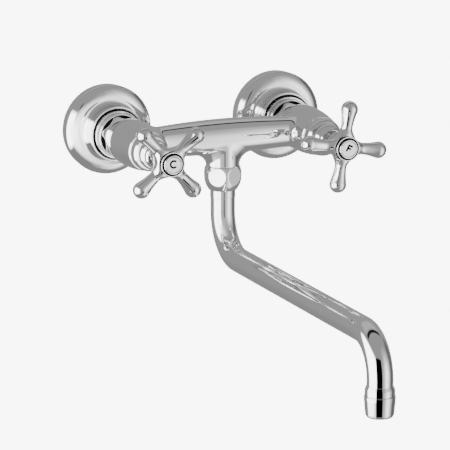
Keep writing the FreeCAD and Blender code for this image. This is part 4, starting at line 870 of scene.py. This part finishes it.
class MIXER_OT_caps(MixerOperator, bpy.types.Operator):
    """Make the caps of the handles and the enamelled letters on them"""

    bl_idname = "mixer.caps"
    bl_label = "Caps and letters"

    def execute(self, context):
        stroke_width = 1.6
        front = HUB_FRONT + 0.9
        cap = rounded([
            (0.0, front - 3.0, 0.0), (8.2, front - 3.0, 0.2), (8.2, front - 1.9, 0.1),
            (7.7, front - 0.62, 0.0), (7.67, front - 0.55, 0.05), (7.45, front - 0.2, 0.2),
            (6.9, front - 0.02, 0.2), (6.5, front - 0.08, 0.05), (6.35, front - 0.28, 0.03),
            (6.15, front - 0.28, 0.03), (6.0, front - 0.12, 0.05), (0.0, front - 0.12, 0.0),
        ], closed=False)
        level = front - 0.12
        for name, side in SIDES:
            # Painted black: a painted dark reflection on the cap's side and slope, painted shade in
            # the groove round its face.
            shape = solid_turned(cap, 256, [(7.69, 8.3, front - 3, front - 0.6),
                                            (6.1, 6.4, front - 0.3, front - 0.25)])
            polished(f"{name}_cap", [on_valve(shape, side)], f"{name}_handle",
                     f"{name}_index_cap")
            turn = 0.0 if name == "hot" else -27.0
            strokes = self.hot_strokes() if name == "hot" else self.cold_strokes()
            parts = [on_valve(stroke(path, stroke_width, level - 0.2, level + 0.06), side, turn)
                     for path in strokes]
            make_piece(f"{name}_letter", parts, enamel(), f"{name}_handle",
                       [f"{name}_index_letter"])
        return {"FINISHED"}

    def hot_strokes(self):
        """An open ring: a circle of 2.7 from 42 degrees round to -42."""
        angle = np.radians(np.linspace(42, 318, 60))
        return [np.column_stack((2.7 * np.cos(angle), 0.7 + 2.7 * np.sin(angle)))]

    def cold_strokes(self):
        """A stem and two bars."""
        return [
            np.array([[-1.5, -2.25], [-1.5, 3.65]]),
            np.array([[-2.1, 3.05], [2.1, 3.05]]),
            np.array([[-1.5, 0.7], [1.5, 0.7]]),
        ]


def stroke(path, width, low, high):
    """A flat bar along a path (x, y): offset by half its width to both sides, closed all round."""
    heading = np.gradient(path, axis=0)
    heading = heading / np.linalg.norm(heading, axis=1, keepdims=True)
    side = np.column_stack((-heading[:, 1], heading[:, 0])) * width / 2
    left, right = path + side, path - side
    outline = np.vstack((left, right[::-1]))
    count = len(outline)
    top = np.column_stack((outline, np.full(count, high)))
    foot = np.column_stack((outline, np.full(count, low)))
    outward = np.vstack((side, -side[::-1]))
    wall_normal = np.column_stack((outward, np.zeros(count)))
    upward = np.tile([0, 0, 1.0], (count, 1))
    points = np.vstack((top, foot, top, foot))
    normals = np.vstack((wall_normal, wall_normal, upward, -upward))
    ring = np.arange(count)
    after = np.roll(ring, -1)
    walls = np.column_stack((ring, after, after + count, ring + count))
    half = np.arange(len(path) - 1)
    lid = np.column_stack((half, half + 1, count - 2 - half, count - 1 - half)) + 2 * count
    return skin(points, normals, np.vstack((walls, lid, lid + count)))


class MIXER_OT_spout(MixerOperator, bpy.types.Operator):
    """Make the spout: domed nut, turned band, bent tube, outlet bush and aerator housing"""

    bl_idname = "mixer.spout"
    bl_label = "Spout"

    def execute(self, context):
        sizes = context.scene.mixer_sizes
        nut = domed_hexagon(10.4, (13.75, 15.8, 11.3), 7.0, 20.0, 28.2, 90.0 - 21.0)
        nut = under_bridge(flipped(nut, COLLAR_LOW))
        polished("hanging_nut", [nut], "tap_body", "spout_nut")

        band = rounded([
            (6.4, -60.0, 0.1), (8.7, -60.0, 0.1), (8.7, TUBE_TOP, 0.05), (10.3, TUBE_TOP, 0.3),
            (10.3, -40.0, 0.2), (9.0, -40.0, 0.1), (9.0, -26.0, 0.2), (6.4, -26.0, 0.2),
        ])
        polished("swivel_band", [under_bridge(turned(band))], "spout", "spout_swivel")
        polished("bent_tube", [under_bridge(self.tube(sizes))], "spout", "spout_tube")

        joint = -134.0
        bush = rounded([
            (9.0, joint - 6.0, 0.1), (10.6, joint - 6.0, 0.2), (10.6, joint, 0.05),
            (11.4, joint, 0.3), (11.4, joint + 4.4, 2.2), (10.1, joint + 7.4, 0.3),
            (9.9, joint + 7.4, 0.1), (9.9, joint, 0.1),
        ])
        reach = sizes.spout_reach / MM
        polished("flared_bush", [under_bridge(turned(bush), reach)], "spout", "outlet_bush")
        top, low = joint - 0.35, joint - 16.7
        housing = rounded([
            (10.65, top, 0.1), (11.9, top, 0.35), (11.9, top - 2.5, 12.0),
            (10.9, low + 2.4, 1.0), (9.7, low, 0.9), (8.9, low, 0.3),
            (8.9, low + 1.6, 0.1), (10.65, low + 1.6, 0.1),
        ])
        polished("round_housing", [under_bridge(turned(housing), reach)], "spout",
                 "aerator_housing")
        return {"FINISHED"}

    def tube(self, sizes):
        """Bent tube: circles of the tube's radius across a path of runs and arcs in one plane.

        point = path + radius (cos t across the plane + sin t in it, square to the path).
        """
        reach, rise = sizes.spout_reach / MM, 4.0
        radius = sizes.tube_radius / MM
        start, end, joint = -95.1, -91.1, -134.0
        climb = math.atan2(rise, reach)
        arms = []
        for bend, corner, into, out in (
            (34.0, (0.0, start), -math.pi / 2, climb),
            (31.0, (reach, end), climb, -math.pi / 2),
        ):
            half = bend * math.tan(abs(out - into) / 2)
            side = 1.0 if out > into else -1.0
            first = np.array(corner) - half * np.array([math.cos(into), math.sin(into)])
            centre = first + side * bend * np.array([-math.sin(into), math.cos(into)])
            angle = np.linspace(into, out, 40)
            arms.append(np.column_stack((
                centre[0] + side * bend * np.sin(angle),
                centre[1] - side * bend * np.cos(angle),
                angle,
            )))
        down = -math.pi / 2
        path = np.vstack(([[0.0, TUBE_TOP, down]], arms[0], arms[1], [[reach, joint, down]]))
        t = np.linspace(0, 2 * math.pi, 96, endpoint=False)
        square = np.column_stack((-np.sin(path[:, 2]), np.cos(path[:, 2])))
        cos_t, sin_t = np.cos(t)[None, :], np.sin(t)[None, :]
        normal = np.stack((
            cos_t + 0 * path[:, :1],
            -(sin_t * square[:, :1]),
            sin_t * square[:, 1:],
        ), -1)
        line = np.stack((0 * path[:, 0], -path[:, 0], path[:, 1]), -1)[:, None, :]
        points = (line + radius * normal).reshape(-1, 3)
        normals = normal.reshape(-1, 3)
        ends = np.vstack((line[0], line[-1]))
        size, count = len(points), len(t)
        points = np.vstack((points, ends))
        normals = np.vstack((normals, [[0, 0, 1.0], [0, 0, -1.0]]))
        return skin(points, normals, grid_faces(len(path), count, ring=False),
                    fans(size, count))


class MIXER_OT_inner_finishes(MixerOperator, bpy.types.Operator):
    """Give the pieces that stay as they are in the frame their finishes"""

    bl_idname = "mixer.inner_finishes"
    bl_label = "Inner finishes"

    def execute(self, context):
        by_ending = {
            "union_washer": fibre, "headwork_gasket": fibre, "headwork": chrome,
            "plunger": brass, "seat_washer": rubber, "washer_screw": steel,
            "spindle_seals": rubber, "spindle_clip": steel, "handle_screw": steel,
            "spout_upper_washer": nylon, "spout_lower_washer": nylon, "spout_seals": rubber,
            "aerator_washer": rubber, "aerator_insert": grey_plastic,
            "aerator_screens": woven_steel,
        }
        for name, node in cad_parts.items():
            plain = name.removeprefix("hot_").removeprefix("cold_")
            if plain in by_ending:
                node.data.materials.clear()
                node.data.materials.append(by_ending[plain]())
        return {"FINISHED"}


class MIXER_OT_stage(MixerOperator, bpy.types.Operator):
    """Set up the plain pale floor, the soft light all round and the camera"""

    bl_idname = "mixer.stage"
    bl_label = "Stage"

    def execute(self, context):
        looks = context.scene.mixer_looks
        self.floor(looks)
        self.light_boxes(looks)
        self.room(looks)
        self.camera()
        return {"FINISHED"}

    def floor(self, looks):
        """A wide level sheet below the tap, evenly bright."""
        size, level = 30.0, -0.9
        corners = [(-size, -size, level), (size, -size, level), (size, size, level),
                   (-size, size, level)]
        floor = self.sheet("floor", corners, None)
        material = bpy.data.materials.new("pale floor")
        material.use_nodes = True
        shader = material.node_tree.nodes["Principled BSDF"]
        shader.inputs["Base Color"].default_value = (0.9, 0.9, 0.9, 1.0)
        shader.inputs["Roughness"].default_value = 0.9
        shader.inputs["Emission Color"].default_value = (1.0, 1.0, 1.0, 1.0)
        shader.inputs["Emission Strength"].default_value = looks.white
        floor.data.materials.append(material)
        floor.visible_glossy = False
        floor.visible_diffuse = False

    def light_boxes(self, looks):
        """Sheets that the polish mirrors and the camera doesn't see: two bright, one dark."""
        self.sheet("light_box_left", [
            (-0.78, -1.06, -0.64), (-0.78, 0.32, -0.64), (-0.78, 0.32, 0.48), (-0.78, -1.06, 0.48),
        ], self.glow("left box", looks.box_light, 0.18))
        self.sheet("light_card", [
            (0.02, -0.12, -0.13), (-0.36, -0.12, -0.13), (-0.36, -0.12, 0.09), (0.02, -0.12, 0.09),
        ], self.glow("small card", looks.box_light * 0.7, 0.5))
        self.sheet("dark_card", [
            (-0.008, -0.502, -0.24), (-0.105, -0.462, -0.24), (-0.105, -0.462, -0.02),
            (-0.008, -0.502, -0.02),
        ], self.glow("dark card", 0.0, 0.06))

    def sheet(self, name, corners, material):
        """A stage sheet from four corners, hidden from the camera if it has a glow."""
        mesh = bpy.data.meshes.new(name)
        mesh.from_pydata(corners, [], [(0, 1, 2, 3)])
        layer = mesh.uv_layers.new(name="UVMap")
        layer.data.foreach_set("uv", (0, 0, 1, 0, 1, 1, 0, 1))
        sheet = bpy.data.objects.new(name, mesh)
        bpy.context.scene.collection.objects.link(sheet)
        if material:
            mesh.materials.append(material)
            sheet.visible_camera = False
            sheet.visible_shadow = False
        return sheet

    def glow(self, name, strength, soft):
        """Even light on the sheet's front, fading out to clear over a margin of the soft share."""
        material = bpy.data.materials.new(name)
        material.use_nodes = True
        nodes, links = material.node_tree.nodes, material.node_tree.links
        nodes.clear()
        place = nodes.new("ShaderNodeUVMap")
        parts = nodes.new("ShaderNodeSeparateXYZ")
        links.new(place.outputs["UV"], parts.inputs[0])
        side = nodes.new("ShaderNodeNewGeometry")
        front = nodes.new("ShaderNodeMath")
        front.operation = "SUBTRACT"
        front.inputs[0].default_value = 1.0
        links.new(side.outputs["Backfacing"], front.inputs[1])
        mask = front.outputs[0]
        for part in ("X", "Y"):
            for near, far in ((0.0, soft), (1.0, 1.0 - soft)):
                edge = nodes.new("ShaderNodeMapRange")
                edge.interpolation_type = "SMOOTHSTEP"
                edge.inputs["From Min"].default_value = near
                edge.inputs["From Max"].default_value = far
                links.new(parts.outputs[part], edge.inputs["Value"])
                both = nodes.new("ShaderNodeMath")
                both.operation = "MULTIPLY"
                links.new(mask, both.inputs[0])
                links.new(edge.outputs["Result"], both.inputs[1])
                mask = both.outputs[0]
        clear, light = nodes.new("ShaderNodeBsdfTransparent"), nodes.new("ShaderNodeEmission")
        light.inputs["Strength"].default_value = strength
        mix, output = nodes.new("ShaderNodeMixShader"), nodes.new("ShaderNodeOutputMaterial")
        links.new(mask, mix.inputs[0])
        links.new(clear.outputs[0], mix.inputs[1])
        links.new(light.outputs[0], mix.inputs[2])
        links.new(mix.outputs[0], output.inputs["Surface"])
        return material

    def room(self, looks):
        """Soft light from all sides, by the turn and the height of a direction in degrees.

        The turn is counted from the camera's side, to the right as the camera sees it. To the
        right stands a long soft light box, past it a dark corner; a narrow dark gap runs
        overhead from left to right.
        """
        world = bpy.data.worlds.new("studio")
        bpy.context.scene.world = world
        world.use_nodes = True
        nodes, links = world.node_tree.nodes, world.node_tree.links
        nodes.clear()
        where = nodes.new("ShaderNodeTexCoord")

        def calculate(operation, *values):
            node = nodes.new("ShaderNodeMath")
            node.operation = operation
            for socket, value in zip(node.inputs, values):
                if isinstance(value, bpy.types.NodeSocket):
                    links.new(value, socket)
                else:
                    socket.default_value = value
            return node.outputs[0]

        def along(vector):
            dot = nodes.new("ShaderNodeVectorMath")
            dot.operation = "DOT_PRODUCT"
            dot.inputs[1].default_value = vector
            links.new(where.outputs["Generated"], dot.inputs[0])
            return dot.outputs["Value"]

        def graded(value, stops):
            low, high = stops[0][0], stops[-1][0]
            share = calculate("DIVIDE", calculate("SUBTRACT", value, low), high - low)
            ramp = nodes.new("ShaderNodeValToRGB")
            ramp.color_ramp.interpolation = "EASE"
            elements = ramp.color_ramp.elements
            while len(elements) < len(stops):
                elements.new(0.5)
            for element, (place, level) in zip(elements, stops):
                element.position = (place - low) / (high - low)
                element.color = (level, level, level, 1.0)
            links.new(share, ramp.inputs[0])
            return ramp.outputs[0]

        def blend(mask, first, second):
            return calculate("ADD", calculate("MULTIPLY", calculate("SUBTRACT", 1.0, mask), first),
                             calculate("MULTIPLY", mask, second))

        turn = calculate("ARCTAN2", along((0.9244, -0.3814, 0)), along((-0.3814, -0.9244, 0)))
        turn = calculate("DEGREES", turn)
        height = calculate("DEGREES", calculate("ARCSINE", along((0, 0, 1))))
        depth = along((0, 1, 0))

        side = graded(turn, ((15, 0), (35, 0.2), (46, 0.6), (56, 1), (66, 0.95), (76, 0.5),
                             (87, 0.2), (98, 0)))
        tall = graded(height, ((-66, 0), (-52, 0.7), (-35, 1), (0, 1), (14, 0.7), (24, 0.35),
                               (40, 0.12), (55, 0)))
        corner = calculate("MULTIPLY", graded(turn, ((98, 0), (104, 1), (122, 1), (136, 0))),
                           graded(height, ((-45, 0), (-30, 1), (24, 1), (38, 0))))
        back = graded(height, ((-35, 0.78), (0, 1)))
        above = graded(height, ((40, 0), (52, 1)))
        overhead = calculate(
            "MULTIPLY", graded(depth, ((0.03, 0), (0.07, 1), (0.17, 1), (0.21, 0))), above)
        beside = calculate(
            "MULTIPLY", graded(depth, ((0.2, 0), (0.3, 1), (0.55, 1), (0.75, 0))), above)
        light = calculate("MULTIPLY", looks.room_light, back)
        light = calculate("ADD", light, calculate(
            "MULTIPLY", calculate("MULTIPLY", side, tall), looks.side_light))
        light = blend(corner, light, looks.corner_light)
        light = blend(beside, light, looks.room_light * 1.6)
        light = blend(overhead, light, 0.02)
        gap = calculate("MULTIPLY", graded(turn, ((-11, 0), (-8, 1), (-3, 1), (0, 0))),
                        graded(height, ((-45, 0), (-35, 1), (25, 1), (40, 0))))
        light = blend(gap, light, 0.06)
        path = nodes.new("ShaderNodeLightPath")
        light = blend(path.outputs["Is Camera Ray"], light, looks.white)
        background = nodes.new("ShaderNodeBackground")
        links.new(light, background.inputs["Strength"])
        output = nodes.new("ShaderNodeOutputWorld")
        links.new(background.outputs[0], output.inputs["Surface"])

    def camera(self):
        """A long lens from the left and above."""
        data = bpy.data.cameras.new("camera")
        data.lens = 278.57  # millimetres
        data.sensor_width = 36.0
        data.clip_start, data.clip_end = 0.05, 100.0
        camera = bpy.data.objects.new("camera", data)
        bpy.context.scene.collection.objects.link(camera)
        camera.location = (-1.0487, -2.6194, 0.6021)
        aim = mathutils.Vector((0.3707, 0.8984, -0.2355))
        camera.rotation_mode = "QUATERNION"
        camera.rotation_quaternion = aim.to_track_quat("-Z", "Y")
        bpy.context.scene.camera = camera


# ---------------------------------------------------------------------------------------------
# Settings, panel and registration
# ---------------------------------------------------------------------------------------------


class MixerSizes(bpy.types.PropertyGroup):
    """Main sizes of the mixer"""

    inlet_spacing: bpy.props.FloatProperty(
        name="Inlet spacing", description="Between the axes of the two barrels",
        default=middle_of("cold_wall_flange", 0) - middle_of("hot_wall_flange", 0),
        unit="LENGTH", precision=4)
    tap_axis: bpy.props.FloatProperty(
        name="Tap axis", description="Height of the barrels' axes over the wall inlets",
        default=middle_of("hot_wall_flange", 2), unit="LENGTH", precision=4)
    bridge_out: bpy.props.FloatProperty(
        name="Bridge out", description="Wall to the axis of the bridge",
        default=-middle_of("spout_swivel", 1), unit="LENGTH", precision=4)
    flange_radius: bpy.props.FloatProperty(
        name="Flange radius", description="Widest radius of a wall flange",
        default=width_of("hot_wall_flange", 0) / 2, unit="LENGTH", precision=4)
    tube_radius: bpy.props.FloatProperty(
        name="Tube radius", description="Outside radius of the spout tube",
        default=width_of("spout_tube", 0) / 2, unit="LENGTH", precision=4)
    spout_reach: bpy.props.FloatProperty(
        name="Spout reach", description="Swivel axis to outlet axis",
        default=middle_of("spout_swivel", 1) - middle_of("outlet_bush", 1),
        unit="LENGTH", precision=4)


class MixerLooks(bpy.types.PropertyGroup):
    """Colours, light and how the handles stand"""

    chrome_tint: bpy.props.FloatVectorProperty(
        name="Chrome", description="Colour of the polished chrome", subtype="COLOR",
        default=(0.80, 0.80, 0.81), min=0.0, max=1.0)
    hot_turn: bpy.props.FloatProperty(
        name="Left handle", description="How far the left cross stands turned",
        default=math.radians(41.0), subtype="ANGLE", unit="ROTATION")
    cold_turn: bpy.props.FloatProperty(
        name="Right handle", description="How far the right cross stands turned",
        default=math.radians(-9.15), subtype="ANGLE", unit="ROTATION")
    white: bpy.props.FloatProperty(
        name="White", description="Brightness of the floor and backdrop", default=8.0, min=0.0)
    room_light: bpy.props.FloatProperty(
        name="Room light", description="Brightness of the room all round", default=0.5, min=0.0)
    box_light: bpy.props.FloatProperty(
        name="Box light", description="Brightness of the light box on the left", default=8.0,
        min=0.0)
    side_light: bpy.props.FloatProperty(
        name="Side light", description="Brightness of the light box on the right", default=3.4,
        min=0.0)
    corner_light: bpy.props.FloatProperty(
        name="Corner light", description="Brightness of the corner past the right light box",
        default=0.2, min=0.0)


OPERATORS = (
    MIXER_OT_casting,
    MIXER_OT_flanges,
    MIXER_OT_unions,
    MIXER_OT_bonnets,
    MIXER_OT_handles,
    MIXER_OT_caps,
    MIXER_OT_spout,
    MIXER_OT_inner_finishes,
    MIXER_OT_stage,
)


class MIXER_PT_pieces(bpy.types.Panel):
    """Lists the mixer's pieces and settings in the sidebar"""

    bl_label = "Bridge Kitchen Mixer"
    bl_idname = "MIXER_PT_pieces"
    bl_space_type = "VIEW_3D"
    bl_region_type = "UI"
    bl_category = "Mixer"

    def draw(self, context):
        scene, column = context.scene, self.layout.column()
        for group in (scene.mixer_sizes, scene.mixer_looks):
            for name in group.__annotations__:
                column.prop(group, name)
        for operator in OPERATORS:
            column.operator(operator.bl_idname)


CLASSES = (MixerSizes, MixerLooks, *OPERATORS, MIXER_PT_pieces)


def register():
    """Make the classes and settings known to Blender."""
    for item in CLASSES:
        bpy.utils.register_class(item)
    bpy.types.Scene.mixer_sizes = bpy.props.PointerProperty(type=MixerSizes)
    bpy.types.Scene.mixer_looks = bpy.props.PointerProperty(type=MixerLooks)


def unregister():
    """Take them away again."""
    del bpy.types.Scene.mixer_looks
    del bpy.types.Scene.mixer_sizes
    for item in reversed(CLASSES):
        bpy.utils.unregister_class(item)


def main():
    """Make every piece and the stage."""
    register()
    bpy.ops.mixer.casting()
    bpy.ops.mixer.flanges()
    bpy.ops.mixer.unions()
    bpy.ops.mixer.bonnets()
    bpy.ops.mixer.handles()
    bpy.ops.mixer.caps()
    bpy.ops.mixer.spout()
    bpy.ops.mixer.inner_finishes()
    bpy.ops.mixer.stage()


if __name__ == "__main__":
    main()
